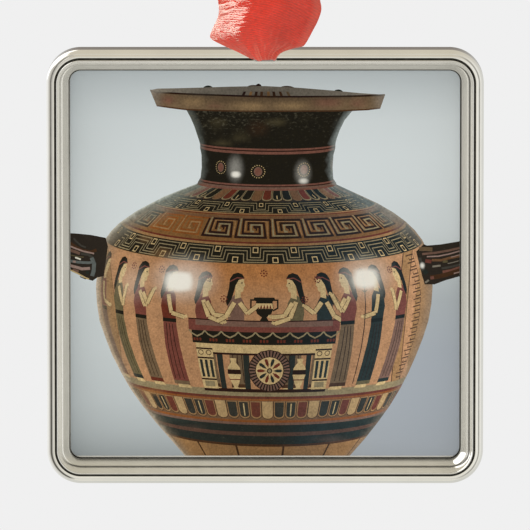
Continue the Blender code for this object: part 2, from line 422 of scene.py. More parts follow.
def foot_painted_shade(nodes, inset, upwards, bars):
    """Painted shade in the gap round the sheet, drawn as a dark line: broader along the bottom, weaker along
    the left bar and left out along most of it.
    """
    left, _, bottom = bars
    middle = nodes.scaled(bottom, -NOTCH_WIDTH * 2.1, recess_inset() + PANEL_EDGE_CLEARANCE / 2)
    half_width = nodes.scaled(bottom, NOTCH_WIDTH * 1.2, NOTCH_WIDTH * 1.5)
    clean = nodes.times(ranged(nodes, upwards, *UNSHADED_FOOT[0]), ranged(nodes, upwards, *UNSHADED_FOOT[1]))
    clean = nodes.times(left, nodes.scaled(clean, 0.7, 0.4))
    strength = nodes.minus(nodes.scaled(bottom, -0.35, 1.1), clean)
    return nodes.times(line_mask(nodes, inset, middle, half_width), strength)


def step_dark_line(nodes, inset, upwards, bars):
    """A line along the outer step of the side bars, stronger down the left one."""
    left, right, _ = bars
    low = nodes.scaled(ranged(nodes, upwards, *STEP_GROWTH), 1.6, 1.2)
    strength = nodes.scaled(right, 0.75, nodes.times(left, low))
    return nodes.times(line_mask(nodes, inset, OUTER_BAND_WIDTH, STEP_WIDTH), strength)


def dark_lines_mask(nodes, inset, position, bars):
    """The tarnished groove, painted shade in the gap at the foot, and dark lines at the crease and along the
    step of the two side bars.
    """
    _, upwards = from_centre(nodes, position)
    groove_middle = OUTER_BAND_WIDTH + FRONT_BAND_WIDTH + GROOVE_WIDTH / 2
    total = nodes.times(line_mask(nodes, inset, groove_middle, GROOVE_WIDTH * 0.6), 3.0, clamp=True)
    for line in (crease_dark_line, foot_painted_shade, step_dark_line):
        total = nodes.larger(total, line(nodes, inset, upwards, bars))
    patches = nodes.noise(position, 900.0, 3.0)
    return nodes.times(total, nodes.scaled(patches, 0.5, 0.72), clamp=True)


# Plate tones: clouds, painted light on the slopes, painted shade on the lower slope, painted warm reflection
# on the bottom bar's slopes, and the tarnished groove and dark lines
PLATE_CLOUDS = ((0.3, (0.86, 0.85, 0.82)), (0.7, (0.92, 0.91, 0.88)))
SLOPE_PAINTED_LIGHT_TONE = (0.97, 0.96, 0.94, 1)
LOWER_SLOPE_PAINTED_SHADE_TONE = (0.50, 0.50, 0.48, 1)
BOTTOM_PAINTED_REFLECTION_TONE = (0.76, 0.72, 0.62, 1)
DARK_LINE_TONE = (0.17, 0.165, 0.15, 1)


def plate_tone_with_painted_light(nodes, inset, position, bars):
    """The plate's clouds, with painted light on the slopes, painted shade that greys the lower slope and a
    painted warm reflection along the bottom bar.
    """
    _, right, bottom = bars
    upper = nodes.math("GREATER_THAN", inset, bead_end_inset())
    lower = nodes.math("GREATER_THAN", inset, crease_inset())
    grey = nodes.scaled(right, -0.3, nodes.scaled(bottom, -0.13, 0.6))
    plate = nodes.ramp(nodes.noise(position, 160.0, 3.0), PLATE_CLOUDS)
    # Painted light: the slopes are painted brighter than the plate's clouds.
    plate = nodes.mix(upper, plate, SLOPE_PAINTED_LIGHT_TONE)
    # Painted shade: the lower slope is painted greyer, less so on the right and the bottom bar.
    plate = nodes.mix(nodes.times(lower, grey), plate, LOWER_SLOPE_PAINTED_SHADE_TONE)
    # Painted reflection: the slopes of the bottom bar are painted warmer.
    return nodes.mix(nodes.times(nodes.times(bottom, upper), 0.75), plate, BOTTOM_PAINTED_REFLECTION_TONE)


def silver_material():
    """Polished silver plate with a tarnished groove, painted shade in the gap at its foot, dark lines at the
    crease and the step, and painted light and shade on its slopes.
    """
    material, nodes, shader = new_material("silver_plate")
    position = nodes.position()
    _, depth, _ = nodes.parts(position)
    front = nodes.math("LESS_THAN", depth, depth_to_y(BACK_PLATE_THICKNESS / 2))
    inset = nodes.times(inset_from_edge(nodes, position), front)
    bars = bar_weights(nodes, position)
    dark_lines = dark_lines_mask(nodes, inset, position, bars)
    plate = plate_tone_with_painted_light(nodes, inset, position, bars)
    # Base colour: the plate with its painted light and shade, under the tarnished groove, the painted shade
    # at the foot and the dark lines.
    connect(nodes, nodes.mix(dark_lines, plate, DARK_LINE_TONE), shader, "Base Color")
    scratches = nodes.noise(nodes.stretched(position, (1.0, 1.0, 6.0)), 2600.0, 2.0, 0.6)
    roughness = nodes.scaled(scratches, 0.12, 0.05)
    connect(nodes, nodes.scaled(dark_lines, 0.4, roughness), shader, "Roughness")
    ripple = nodes.noise(position, 420.0, 2.0)
    surface = nodes.plus(nodes.times(ripple, 0.35), nodes.times(scratches, 0.05))
    connect(nodes, nodes.bump(surface, 0.00003), shader, "Normal")
    shader.inputs["Metallic"].default_value = 1.0
    return material


def slot_cutter():
    half_length = BUNDLE_WIDTH / 2 + SLOT_CLEARANCE
    half_height = slot_reach()
    rings = []
    for y in (-frame_depth(), frame_depth()):
        ring = []
        for end, start_angle in ((1, -90), (-1, 90)):
            centre_x = end * (half_length - half_height)
            for step in range(SLOT_STEPS * 2 + 1):
                angle = math.radians(start_angle + 90 * step / SLOT_STEPS)
                x = centre_x + half_height * math.cos(angle)
                ring.append(Vector((x, y, -LOOP_DROP + half_height * math.sin(angle))))
        rings.append(ring)
    return add_object("slot_cutter", mesh_of_rings("slot_cutter", rings))


def apply_modifiers(thing):
    depsgraph = bpy.context.evaluated_depsgraph_get()
    mesh = bpy.data.meshes.new_from_object(thing.evaluated_get(depsgraph))
    thing.modifiers.clear()
    thing.data = mesh


def make_frame(silver):
    rings = [
        rounded_square(inset, depth_to_y(height), CORNER_STEPS)
        for inset, height in frame_profile(PROFILE_STEPS)
    ]
    frame = add_object("polished_frame", mesh_of_rings("polished_frame", rings), silver)
    cutter = slot_cutter()
    cut = frame.modifiers.new("slot", "BOOLEAN")
    cut.operation = "DIFFERENCE"
    cut.solver = "EXACT"
    cut.object = cutter
    apply_modifiers(frame)
    bpy.data.objects.remove(cutter)
    frame.data.set_sharp_from_angle(angle=math.radians(CRISP_ANGLE))
    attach(frame, "root")
    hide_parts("frame")
    return frame


def spread_to_x(spread):
    return BUNDLE_WIDTH / 2 + (RIBBON_WIDTH - BUNDLE_WIDTH) / 2 * spread


def leg_ribs(side, mouth, spread_share):
    """The ribs of one leg, from the mouth of the slot up to the arch: left edge, right edge, and how far
    the middle stands off them."""
    half_width = RIBBON_WIDTH / 2
    bundle = BUNDLE_WIDTH / 2
    y = side * mouth
    ribs = [(Vector((-bundle, y, -LOOP_DROP)), Vector((bundle, y, -LOOP_DROP)), Vector())]
    for left, right, left_up, right_up, out, middle_out, middle_up in FAN_RIBS:
        y = side * (mouth + RIBBON_STAND_OFF + half_width * out)
        ribs.append(
            (
                Vector((-spread_to_x(left * spread_share), y, -LOOP_DROP + half_width * left_up)),
                Vector((spread_to_x(right * spread_share), y, -LOOP_DROP + half_width * right_up)),
                Vector((0, side * half_width * middle_out, half_width * middle_up)),
            )
        )
    fan_top = ribs[-1][0].z
    arch_foot = SOLID_THICKNESS / 2 - ARCH_RADIUS
    for way, left, right, out, middle_out in LEG_RIBS:
        y = side * ARCH_RADIUS * out
        z = fan_top + (arch_foot - fan_top) * way
        ribs.append(
            (
                Vector((-spread_to_x(left), y, z)),
                Vector((spread_to_x(right), y, z)),
                Vector((0, side * half_width * middle_out, 0)),
            )
        )
    return ribs


def arch_ribs():
    centre_z = SOLID_THICKNESS / 2 - ARCH_RADIUS
    edge = spread_to_x(ARCH_SPREAD)
    ribs = []
    for step in range(ARCH_STEPS + 1):
        angle = math.pi * step / ARCH_STEPS
        y = -ARCH_RADIUS * math.cos(angle)
        z = centre_z + ARCH_RADIUS * math.sin(angle)
        ribs.append((Vector((-edge, y, z)), Vector((edge, y, z)), Vector()))
    return ribs


def smooth_between(points, gaps, share):
    """A point of the smooth curve between the middle two of four points with those gaps between them."""
    before, start, end, after = points
    gap_before, gap, gap_after = gaps
    run = (end - start) / gap
    start_slope = ((start - before) / gap_before * gap + run * gap_before) / (gap_before + gap)
    end_slope = (run * gap_after + (after - end) / gap_after * gap) / (gap + gap_after)
    return (
        start * (1 - 3 * share**2 + 2 * share**3)
        + end * (3 * share**2 - 2 * share**3)
        + start_slope * gap * (share - 2 * share**2 + share**3)
        + end_slope * gap * (share**3 - share**2)
    )


def rib_point(rib, across):
    left, right, middle = rib
    return left.lerp(right, (across + 1) / 2) + middle * (1 - across**2)


def ribbon_ribs():
    """Every rib once round the loop: up the front leg, over the arch, down the back and through the slot."""
    front = leg_ribs(-1, -depth_to_y(band_height()), 1)
    back = leg_ribs(1, frame_depth() / 2, BACK_SPREAD)
    keys = front + arch_ribs() + back[::-1]
    middles = [rib_point(key, 0) for key in keys]
    ribs = []
    for index in range(len(keys)):
        places = [(index + offset) % len(keys) for offset in (-1, 0, 1, 2)]
        gaps = [(middles[a] - middles[b]).length for a, b in zip(places, places[1:])]
        steps = max(FEWEST_STEPS, round(gaps[1] / ROW_SPACING))
        corners = list(zip(*[keys[place] for place in places]))
        for step in range(steps):
            share = step / steps
            if index == len(keys) - 1:
                ribs.append(tuple(points[1].lerp(points[2], share) for points in corners))
            else:
                ribs.append(tuple(smooth_between(points, gaps, share) for points in corners))
    return ribs


def gathered(rib):
    """1 in the bundle at the slot, falling to 0 where the ribbon has opened out."""
    spread = ((rib[1] - rib[0]).length - BUNDLE_WIDTH) / (RIBBON_WIDTH - BUNDLE_WIDTH)
    return 1 - min(1, max(0, spread / OPENED_SPREAD))


def fan_share(rib):
    """1 at the slot, falling to 0 at the top of the fan, where the folds have run out."""
    height = (rib[0].z + rib[1].z) / 2 + LOOP_DROP
    return min(1, max(0, 1 - height / (RIBBON_WIDTH * FAN_HEIGHT_SHARE)))


RIB_TURNS = 19000.0
RIB_SLANT = 4200.0
SEAM_AT = 0.0880
SEAM_ROW = 0.0010
STITCH_WIDTH = 0.00014
STITCH_TURNS = 7000.0
GATHER_REACH = 0.0065
FAR_GATHER = (0.1122, 0.1187)
FOLDS = ((5.2, 0.4, 0.00016), (9.1, 2.1, 0.00010), (16.3, 4.0, 0.00005))


def fold_height(across, rib):
    """The folds that run out of the slot fade as the ribbon opens."""
    share = fan_share(rib)
    height = sum(reach * math.sin(count * across + phase) for count, phase, reach in FOLDS)
    return height * share * (1 - gathered(rib) * 0.6)


def make_ribbon(satin):
    ribs = ribbon_ribs()
    count = len(ribs)
    stations = [-1 + 2 * step / ACROSS_STEPS for step in range(ACROSS_STEPS + 1)]
    grid = [[rib_point(rib, across) for across in stations] for rib in ribs]
    way = [0.0]
    middle = ACROSS_STEPS // 2
    for index in range(count):
        way.append(way[-1] + (grid[(index + 1) % count][middle] - grid[index][middle]).length)
    bm = bmesh.new()
    uv = bm.loops.layers.uv.new("cloth")
    rows = []
    for index, rib in enumerate(ribs):
        before, here, after = grid[index - 1], grid[index], grid[(index + 1) % count]
        half = (CLOTH_THICKNESS + (BUNDLE_THICKNESS - CLOTH_THICKNESS) * gathered(rib)) / 2
        outer, inner = [], []
        for station, point in enumerate(here):
            along = after[station] - before[station]
            beside = here[min(station + 1, ACROSS_STEPS)] - here[max(station - 1, 0)]
            normal = along.cross(beside).normalized()
            lift = fold_height(stations[station], rib)
            outer.append(bm.verts.new(point + normal * (half + lift)))
            inner.append(bm.verts.new(point + normal * (lift - half)))
        rows.append(outer + inner[::-1])
    places = stations + stations[::-1]
    for index in range(count):
        row, following = rows[index], rows[(index + 1) % count]
        for corner in range(len(row)):
            beyond = (corner + 1) % len(row)
            face = bm.faces.new((row[corner], row[beyond], following[beyond], following[corner]))
            marks = (
                (places[corner], way[index]),
                (places[beyond], way[index]),
                (places[beyond], way[index + 1]),
                (places[corner], way[index + 1]),
            )
            for loop, (across, along) in zip(face.loops, marks):
                loop[uv].uv = (across * RIBBON_WIDTH / 2, along)
    bmesh.ops.recalc_face_normals(bm, faces=bm.faces)
    ribbon = add_object("satin_loop", mesh_from(bm, "satin_loop"), satin)
    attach(ribbon, "root")
    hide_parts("ribbon")
    ribbon.visible_glossy = False
    return ribbon


def seam_mask(nodes, across, along):
    """The seam on the back leg that closes the loop: the cut end and a row of stitches on each side."""
    cut = nodes.times(line_mask(nodes, along, SEAM_AT, STITCH_WIDTH), 0.7)
    dashes = nodes.math("GREATER_THAN", nodes.math("SINE", nodes.times(across, STITCH_TURNS)), 0.0)
    rows = nodes.math("ABSOLUTE", nodes.minus(along, SEAM_AT))
    stitches = nodes.times(line_mask(nodes, rows, SEAM_ROW, STITCH_WIDTH), dashes)
    return nodes.larger(cut, stitches)


def satin_material():
    """Coral satin: fine slanting ribs with painted shade in their valleys, painted highlights on the gathers
    towards the slot, paler edges painted as sheen, painted shade over the right half of its width, and a soft
    gloss.
    """
    material, nodes, shader = new_material("coral_satin")
    cloth = nodes.add("ShaderNodeUVMap", uv_map="cloth").outputs["UV"]
    across, along, _ = nodes.parts(cloth)
    edge = nodes.math("DIVIDE", nodes.math("ABSOLUTE", across), RIBBON_WIDTH / 2)
    rim = nodes.ramp(edge, [(0.80, 0.0), (0.90, 1.0)])
    wander = nodes.noise(cloth, 520.0, 2.0)
    run = nodes.scaled(along, RIB_TURNS, nodes.times(across, RIB_SLANT))
    ribs = nodes.math("SINE", nodes.scaled(wander, 6.0, run))
    stretched = nodes.stretched(cloth, (1.0, 2.6, 1.0))
    threads = nodes.minus(nodes.noise(stretched, 1500.0, 3.0, 0.65), 0.5)
    gathers = nodes.stretched(cloth, (1.0, 0.22, 1.0))
    gathers = nodes.times(nodes.minus(nodes.noise(gathers, 1100.0, 2.0), 0.5), 5.0, clamp=True)
    # Painted highlight: pale streaks on the gathers where the ribbon runs into the slot, at both ends of the
    # loop.
    slot = nodes.larger(ranged(nodes, along, GATHER_REACH, 0.0), ranged(nodes, along, *FAR_GATHER))
    pale = nodes.times(nodes.scaled(gathers, 0.50, 0.10), slot)
    # Painted shade: the right half of the ribbon's width is painted darker.
    right_half_shade = ranged(nodes, across, 0.0005, 0.0035)
    clouds = nodes.noise(cloth, 300.0, 3.0)
    red = nodes.ramp(clouds, [(0.3, (0.80, 0.022, 0.009)), (0.7, (0.98, 0.034, 0.017))])
    # Painted shade in the valleys of the ribs, over the random tone of the threads.
    weave_and_rib_shade = nodes.scaled(ribs, 0.10, nodes.scaled(threads, 0.9, 1.0))
    shade = nodes.grey(weave_and_rib_shade)
    red = nodes.mix(1.0, red, shade, "MULTIPLY")
    red = nodes.mix(right_half_shade, red, nodes.mix(1.0, red, (0.80, 0.78, 0.74, 1), "MULTIPLY"))
    red = nodes.mix(pale, red, (1.0, 0.34, 0.24, 1))
    # Painted sheen: the edges are painted paler.
    red = nodes.mix(nodes.times(rim, 0.16), red, (0.95, 0.30, 0.22, 1))
    red = nodes.mix(seam_mask(nodes, across, along), red, (0.34, 0.010, 0.006, 1))
    connect(nodes, red, shader, "Base Color")
    height = nodes.scaled(ribs, 0.34, nodes.times(threads, 1.5))
    bumped = nodes.bump(nodes.plus(height, nodes.times(rim, 0.8)), 0.00004)
    rows = nodes.stretched(cloth, (0.3, 2.4, 1.0))
    sway = nodes.times(nodes.minus(nodes.noise(rows, 1100.0, 2.0), 0.5), 1.1)
    sway = nodes.add("ShaderNodeCombineXYZ", {"X": sway}).outputs[0]
    turned = nodes.add("ShaderNodeVectorMath", {0: bumped, 1: sway}, operation="ADD").outputs[0]
    turned = nodes.add("ShaderNodeVectorMath", {0: turned}, operation="NORMALIZE").outputs[0]
    connect(nodes, turned, shader, "Normal")
    facing = nodes.add("ShaderNodeLayerWeight", {"Blend": 0.5}).outputs["Facing"]
    gloss = nodes.times(ranged(nodes, facing, 0.90, 0.65), 0.5)
    connect(nodes, gloss, shader, "Specular IOR Level")
    shader.inputs["Roughness"].default_value = 0.14
    shader.inputs["IOR"].default_value = 2.1
    shader.inputs["Specular Tint"].default_value = (0.25, 0.42, 0.36, 1)
    shader.inputs["Sheen Weight"].default_value = 0.05
    shader.inputs["Sheen Roughness"].default_value = 0.4
    shader.inputs["Sheen Tint"].default_value = (1.0, 0.5, 0.42, 1)
    return material


def camera_axes():
    elevation = math.radians(CAMERA_ELEVATION)
    towards = Vector((0, -math.cos(elevation), math.sin(elevation)))
    upwards = Vector((0, math.sin(elevation), math.cos(elevation)))
    return towards, upwards


def make_camera():
    towards, upwards = camera_axes()
    aim = Vector((CAMERA_AIM[0], 0, frame_centre_z())) + upwards * CAMERA_AIM[1]
    camera = bpy.data.objects.new("camera", bpy.data.cameras.new("camera"))
    camera.data.sensor_width = SENSOR_WIDTH
    camera.data.lens = LENS
    camera.data.clip_start = CLIP_START
    camera.location = aim + towards * CAMERA_DISTANCE
    camera.rotation_euler = towards.to_track_quat("Z", "Y").to_euler()
    bpy.context.scene.collection.objects.link(camera)
    bpy.context.scene.camera = camera


# Light that the silver mirrors to each side of the camera's line of sight, by the angle away from it
AHEAD = (0.75, 0.74, 0.68)
BEIGE = (0.66, 0.61, 0.50)
ROOM_ABOVE = ((0, AHEAD), (18, BEIGE), (134, BEIGE), (156, (0.34, 0.30, 0.26)), (172, (0.20, 0.18, 0.16)))
ROOM_RIGHT = (
    (0, AHEAD), (16, (0.90, 0.89, 0.84)), (50, (0.94, 0.93, 0.88)), (75, (0.80, 0.80, 0.76)),
    (100, (0.72, 0.72, 0.69)),
)
ROOM_BELOW = ((0, AHEAD), (14, (0.84, 0.81, 0.71)), (50, (0.84, 0.82, 0.74)), (65, (0.69, 0.69, 0.65)))
ROOM_LEFT = (
    (0, AHEAD), (16, (0.70, 0.69, 0.65)), (38, (0.50, 0.48, 0.44)), (60, (0.58, 0.56, 0.52)),
    (90, (0.84, 0.83, 0.80)), (120, (0.94, 0.94, 0.93)),
)
# Round lamps that whiten the upper left corner: angle from the line of sight, inner and outer reach, and how
# far they are all turned from the right
LAMPS = ((60, 14, 19), (95, 20, 25), (130, 26, 31))
LAMPS_TURN = 135
# Lamp beside the ribbon: where it stands from the ribbon's left fold, its width, height and power
LAMP_AWAY = (-0.0294, -0.0145, -0.0010)
LAMP_SIZE = (0.023, 0.040)
LAMP_POWER = 0.033
LEFT_FOLD = (-0.0045, -0.0062, -0.0490)
# Low light from the lower right that brightens the panel's margin along its top and left sides
PANEL_LAMP_AWAY = (0.10, -0.12, -0.10)
PANEL_LAMP_POWER = 1.1
# Small round lamp that the lower slope mirrors in the lower right corner: its distance from the slope, its
# size across, and its power
CORNER_LAMP_AWAY = 0.0006
CORNER_LAMP_SIZE = 0.0016
CORNER_LAMP_POWER = 0.000009


def make_world():
    """Even pale grey behind the object, and a bright plain room for the silver and the print to mirror."""
    world = bpy.data.worlds.new("studio")
    bpy.context.scene.world = world
    world.use_nodes = True
    nodes = Nodes(world.node_tree)
    world.node_tree.nodes.clear()
    towards, upwards = camera_axes()
    direction = nodes.add("ShaderNodeTexCoord").outputs["Generated"]

    def component(axis):
        inputs = {0: direction, 1: axis}
        return nodes.add("ShaderNodeVectorMath", inputs, operation="DOT_PRODUCT").outputs["Value"]

    ahead, up, side = component(towards), component(upwards), component(Vector((1, 0, 0)))
    away = nodes.math("DIVIDE", nodes.math("ARCCOSINE", ahead), math.pi)
    spread = nodes.math("SQRT", nodes.minus(1.00001, nodes.times(ahead, ahead)))
    room = (0, 0, 0, 1)
    sides = ((up, 1.0, ROOM_ABOVE), (up, -1.0, ROOM_BELOW), (side, 1.0, ROOM_RIGHT), (side, -1.0, ROOM_LEFT))
    for part, sign, stops in sides:
        lean = nodes.larger(nodes.times(nodes.math("DIVIDE", part, spread), sign), 0.0)
        tone = nodes.ramp(away, [(angle / 180, tone) for angle, tone in stops])
        room = nodes.mix(nodes.times(lean, lean), room, tone, "ADD")
    swing = math.radians(LAMPS_TURN)
    beside = Vector((math.cos(swing), 0, 0)) + upwards * math.sin(swing)
    for angle, *reach in LAMPS:
        lean = math.radians(angle)
        inner, outer = (math.cos(math.radians(value)) for value in reach)
        inputs = {"Value": component(towards * math.cos(lean) + beside * math.sin(lean)), 1: outer, 2: inner}
        near = nodes.add("ShaderNodeMapRange", inputs, interpolation_type="SMOOTHSTEP")
        room = nodes.mix(near.outputs["Result"], room, (1.0, 1.0, 1.0, 1), "ADD")
    seen = nodes.add("ShaderNodeLightPath").outputs["Is Camera Ray"]
    plain = (BACKGROUND_GREY, BACKGROUND_GREY, BACKGROUND_GREY, 1)
    colour = nodes.mix(seen, room, plain)
    background = nodes.add("ShaderNodeBackground", {"Color": colour})
    output = nodes.add("ShaderNodeOutputWorld")
    nodes.tree.links.new(background.outputs[0], output.inputs["Surface"])


def make_lamp(name, kind, away, target, power, lit):
    """A lamp that shines at one piece only."""
    light = bpy.data.lights.new(name, kind)
    light.energy = power
    lamp = bpy.data.objects.new(name, light)
    lamp.location = Vector(target) + Vector(away)
    lamp.rotation_euler = Vector(away).to_track_quat("Z", "Y").to_euler()
    lamp.visible_camera = False
    receivers = bpy.data.collections.new(name + "_lights")
    receivers.objects.link(lit)
    lamp.light_linking.receiver_collection = receivers
    bpy.context.scene.collection.objects.link(lamp)
    return lamp


def light_corner(frame):
    """The white glint in the lower right corner of the slopes."""
    inset = recess_inset() - NOTCH_WIDTH - LOWER_SLOPE_WIDTH / 2
    height = band_height() - UPPER_SLOPE_DROP - CREASE_DROP - LOWER_SLOPE_DROP / 2
    curve = FRAME_SIDE / 2 - FRAME_CORNER_RADIUS
    inward = Vector((-1, 0, 1)).normalized()
    centre = Vector((curve, depth_to_y(height), frame_centre_z() - curve))
    spot = centre - inward * (FRAME_CORNER_RADIUS - inset)
    facing = (inward * LOWER_SLOPE_DROP + Vector((0, -1, 0)) * LOWER_SLOPE_WIDTH).normalized()
    towards, _ = camera_axes()
    mirrored = (-towards).reflect(facing)
    lamp = make_lamp("corner_lamp", "AREA", mirrored * CORNER_LAMP_AWAY, spot, CORNER_LAMP_POWER, frame)
    lamp.data.shape = "DISK"
    lamp.data.size = CORNER_LAMP_SIZE
    lamp.visible_diffuse = False


def light_ribbon(ribbon):
    """The ribbon's gloss comes from a small lamp beside its left fold."""
    lamp = make_lamp("ribbon_lamp", "AREA", LAMP_AWAY, LEFT_FOLD, LAMP_POWER, ribbon)
    lamp.data.shape = "RECTANGLE"
    lamp.data.size, lamp.data.size_y = LAMP_SIZE
    lamp.visible_diffuse = False


def make_floor():
    bm = bmesh.new()
    bmesh.ops.create_grid(bm, x_segments=4, y_segments=4, size=FLOOR_SIDE)
    material, nodes, _ = new_material("pale_floor")
    glow = nodes.add("ShaderNodeEmission", {"Color": (BACKGROUND_GREY,) * 3 + (1,)})
    output = material.node_tree.nodes["Material Output"]
    nodes.tree.links.new(glow.outputs[0], output.inputs["Surface"])
    floor = add_object("floor", mesh_from(bm, "floor"), material)
    floor.location.z = frame_centre_z() - FRAME_SIDE / 2 - FLOOR_DROP
    floor.visible_diffuse = False
    floor.visible_glossy = False


# The printed picture. Its lengths are millimetres on the panel from the frame's centre, x to the right
# and z up. A ring is a level line round the printed vase: the height of its front and that of its two ends.
RING_LEVELS = (
    (21.2, 21.62), (19.67, 20.16), (17.16, 17.86), (15.42, 16.32), (13.81, 14.72), (11.72, 12.63),
    (10.89, 11.79), (10.4, 11.35), (10.12, 11.12), (8.62, 9.8), (6.85, 8.52), (6.22, 8.1), (3.46, 6.5),
    (2.85, 6.12), (2.53, 5.83), (-0.08, 3.26), (-3.61, -0.26), (-6.39, -3.12), (-9.18, -5.98),
    (-11.97, -8.9), (-14.76, -11.9), (-16.85, -14.2), (-18.52, -15.94), (-21.72, -19.01),
    (-22.46, -19.77), (-23.54, -20.96), (-25.25, -22.77), (-28.69, -26.18), (-30.78, -28.28),
)
RING_TILT = 0.010

BODY_LEFT = (
    (-9.34, 11.24), (-11.7, 10.33), (-13.95, 9.4), (-15.95, 8.38), (-17.8, 7.38), (-19.15, 6.44),
    (-20.23, 5.66), (-21.3, 4.57), (-22.1, 3.47), (-22.68, 2.08), (-23.07, 0.06), (-23.32, -2.27),
    (-23.4, -3.19), (-23.26, -5.56), (-22.9, -7.93), (-22.08, -10.3), (-21.17, -12.67), (-19.97, -15.04),
    (-18.64, -17.4), (-17.0, -19.73), (-15.13, -22.09), (-13.1, -24.44), (-10.95, -26.94), (-9.15, -28.97),
)
BODY_RIGHT = (
    (9.87, 11.1), (12.9, 9.7), (15.58, 8.46), (17.72, 7.21), (19.4, 5.97), (20.7, 4.73), (21.7, 3.43),
    (22.4, 2.04), (22.85, 0.3), (23.12, -1.52), (23.18, -3.19), (23.02, -5.56), (22.6, -7.93),
    (21.85, -10.3), (20.93, -12.67), (19.9, -15.04), (18.7, -17.4), (17.3, -19.73), (15.62, -22.09),
    (13.78, -24.44), (11.6, -26.94), (9.7, -28.97),
)
NECK_LEFT = (
    (-11.63, 22.18), (-10.81, 21.35), (-10.27, 20.36), (-9.77, 19.18), (-9.08, 17.1), (-8.97, 16.67),
    (-8.97, 16.18), (-8.78, 15.21), (-8.75, 13.47), (-8.91, 12.07), (-9.26, 11.47), (-9.33, 11.1),
)
NECK_RIGHT = (
    (12.72, 22.18), (12.03, 21.3), (11.0, 20.06), (10.31, 18.66), (9.88, 17.45), (9.73, 16.81),
    (9.7, 16.11), (9.45, 15.21), (9.33, 13.47), (9.43, 11.9), (9.8, 11.35), (9.9, 10.96),
)
RIM_TOP = (
    (-15.87, 24.21), (-14.81, 24.42), (-12.46, 24.46), (-9.0, 24.55), (-4.85, 24.69), (-0.01, 24.77),
    (4.83, 24.52), (8.98, 24.18), (13.13, 23.79), (16.56, 23.56),
)
RIM_FRONT = (
    (-15.87, 24.18), (-15.08, 23.92), (-11.76, 23.71), (-7.61, 23.54), (-3.46, 23.4), (0.41, 23.29),
    (4.83, 23.29), (8.98, 23.31), (13.13, 23.39), (16.56, 23.53),
)
RIM_FOOT = (
    (-14.95, 21.95), (-13.15, 21.69), (-10.93, 21.41), (-6.92, 21.26), (-3.46, 21.2), (0.41, 21.17),
    (4.83, 21.2), (8.98, 21.21), (12.03, 21.3), (14.24, 21.41), (15.9, 21.62),
)

# Printed inks, as they look on the panel in even light
INKS = {
    "paper": (190, 197, 197),
    "clay": (152, 114, 83),
    "tan": (132, 100, 66),
    "earth": (98, 70, 48),
    "umber": (62, 40, 24),
    "cream": (170, 148, 108),
    "bone": (122, 110, 84),
    "moss": (84, 76, 54),
    "glaze": (24, 21, 14),
    "ochre": (108, 76, 43),
    "coal": (40, 34, 29),
    "straw": (152, 126, 90),
    "amber": (148, 96, 50),
    "ink": (36, 18, 6),
    "night": (34, 38, 35),
    "maroon": (86, 38, 26),
    "brick": (104, 68, 58),
    "wine": (98, 54, 46),
    "plum": (100, 76, 66),
    "rust": (116, 66, 28),
    "clove": (94, 77, 58),
    "slate": (108, 102, 94),
    "dusk": (76, 55, 46),
    "ash": (118, 112, 102),
    "rose": (140, 118, 112),
    "steel": (88, 94, 94),
    "smoke": (58, 56, 52),
    "white": (205, 203, 192),
}
PRINT_LIGHT = 0.735

PRINT_LIFT = 0.00001
PRINT_SHORT = 0.16
MOTTLE = {"wall": 0.0, "body": 1.0, "neck": 1.0, "rim": 1.0, "handle": 0.8}
GLOSS_VEIL = 0.004
SHADE_SPACING = 0.75
GLARE_STEPS = 8
GLARE_REACH = 1.3
LONGEST_EDGE = 0.8
LONGEST_ARC = 4.0
FARTHEST_TURN = 84
FARTHEST_DOT = 86
BLOB_STEPS = 16
NECK_FOOT = 10


def linear(tone):
    share = tone / 255
    return share / 12.92 if share <= 0.04045 else ((share + 0.055) / 1.055) ** 2.4


def linear_tone(tone):
    return [linear(value) for value in tone]


def blended(tone, other, share):
    return [value + (goal - value) * share for value, goal in zip(tone, other)]


def read_off(table, place):
    """A value read off a table of (place, value) rows in rising order."""
    for before, after in zip(table, table[1:]):
        if place <= after[0]:
            share = max(0, (place - before[0]) / (after[0] - before[0]))
            return before[1] + (after[1] - before[1]) * share
    return table[-1][1]


def edges_at(z):
    """Where the left and the right outline of the printed vase stand at a height."""
    return [read_off(contour, z) for contour in CONTOURS]


def ring_of(front, ends):
    left, right = edges_at(ends)
    return front, ends, (right - left) / 2, (right + left) / 2


CONTOURS = [
    sorted((z, x) for x, z in neck[:-1] + body)
    for neck, body in ((NECK_LEFT, BODY_LEFT), (NECK_RIGHT, BODY_RIGHT))
]
RINGS = [ring_of(front, ends) for front, ends in RING_LEVELS]


def ring_at(level):
    """Height of the ends, half width and middle of the ring whose front stands at that level."""
    for upper, lower in zip(RINGS, RINGS[1:]):
        if level >= lower[0]:
            share = (upper[0] - level) / (upper[0] - lower[0])
            return [a + (b - a) * share for a, b in zip(upper[1:], lower[1:])]
    return RINGS[-1][1:]


def on_vase(phi, level):
    """The place on the panel of a point of the printed vase, phi degrees round from its front."""
    ends, half, middle = ring_at(level)
    turn = math.radians(phi)
    x = middle + half * math.sin(turn)
    return Vector((x, ends - (ends - level) * math.cos(turn) - RING_TILT * half * math.sin(turn)))


def stroke(points, width):
    """The outline of a line of that width along the points, with mitred corners."""
    left, right = [], []
    for index, point in enumerate(points):
        ways = []
        if index > 0:
            ways.append((point - points[index - 1]).normalized())
        if index < len(points) - 1:
            ways.append((points[index + 1] - point).normalized())
        first, last = ways[0], ways[-1]
        normal = Vector((-first.y - last.y, first.x + last.x)) / (1 + first.dot(last))
        left.append(point + normal * width / 2)
        right.append(point - normal * width / 2)
    return left + right[::-1]


def divided(points, longest):
    """The same outline with its long edges cut, so that it can follow the curve of the vase."""
    result = []
    for point, following in zip(points, points[1:] + points[:1]):
        parts = max(1, math.ceil((following - point).length / longest))
        result += [point.lerp(following, part / parts) for part in range(parts)]
    return result


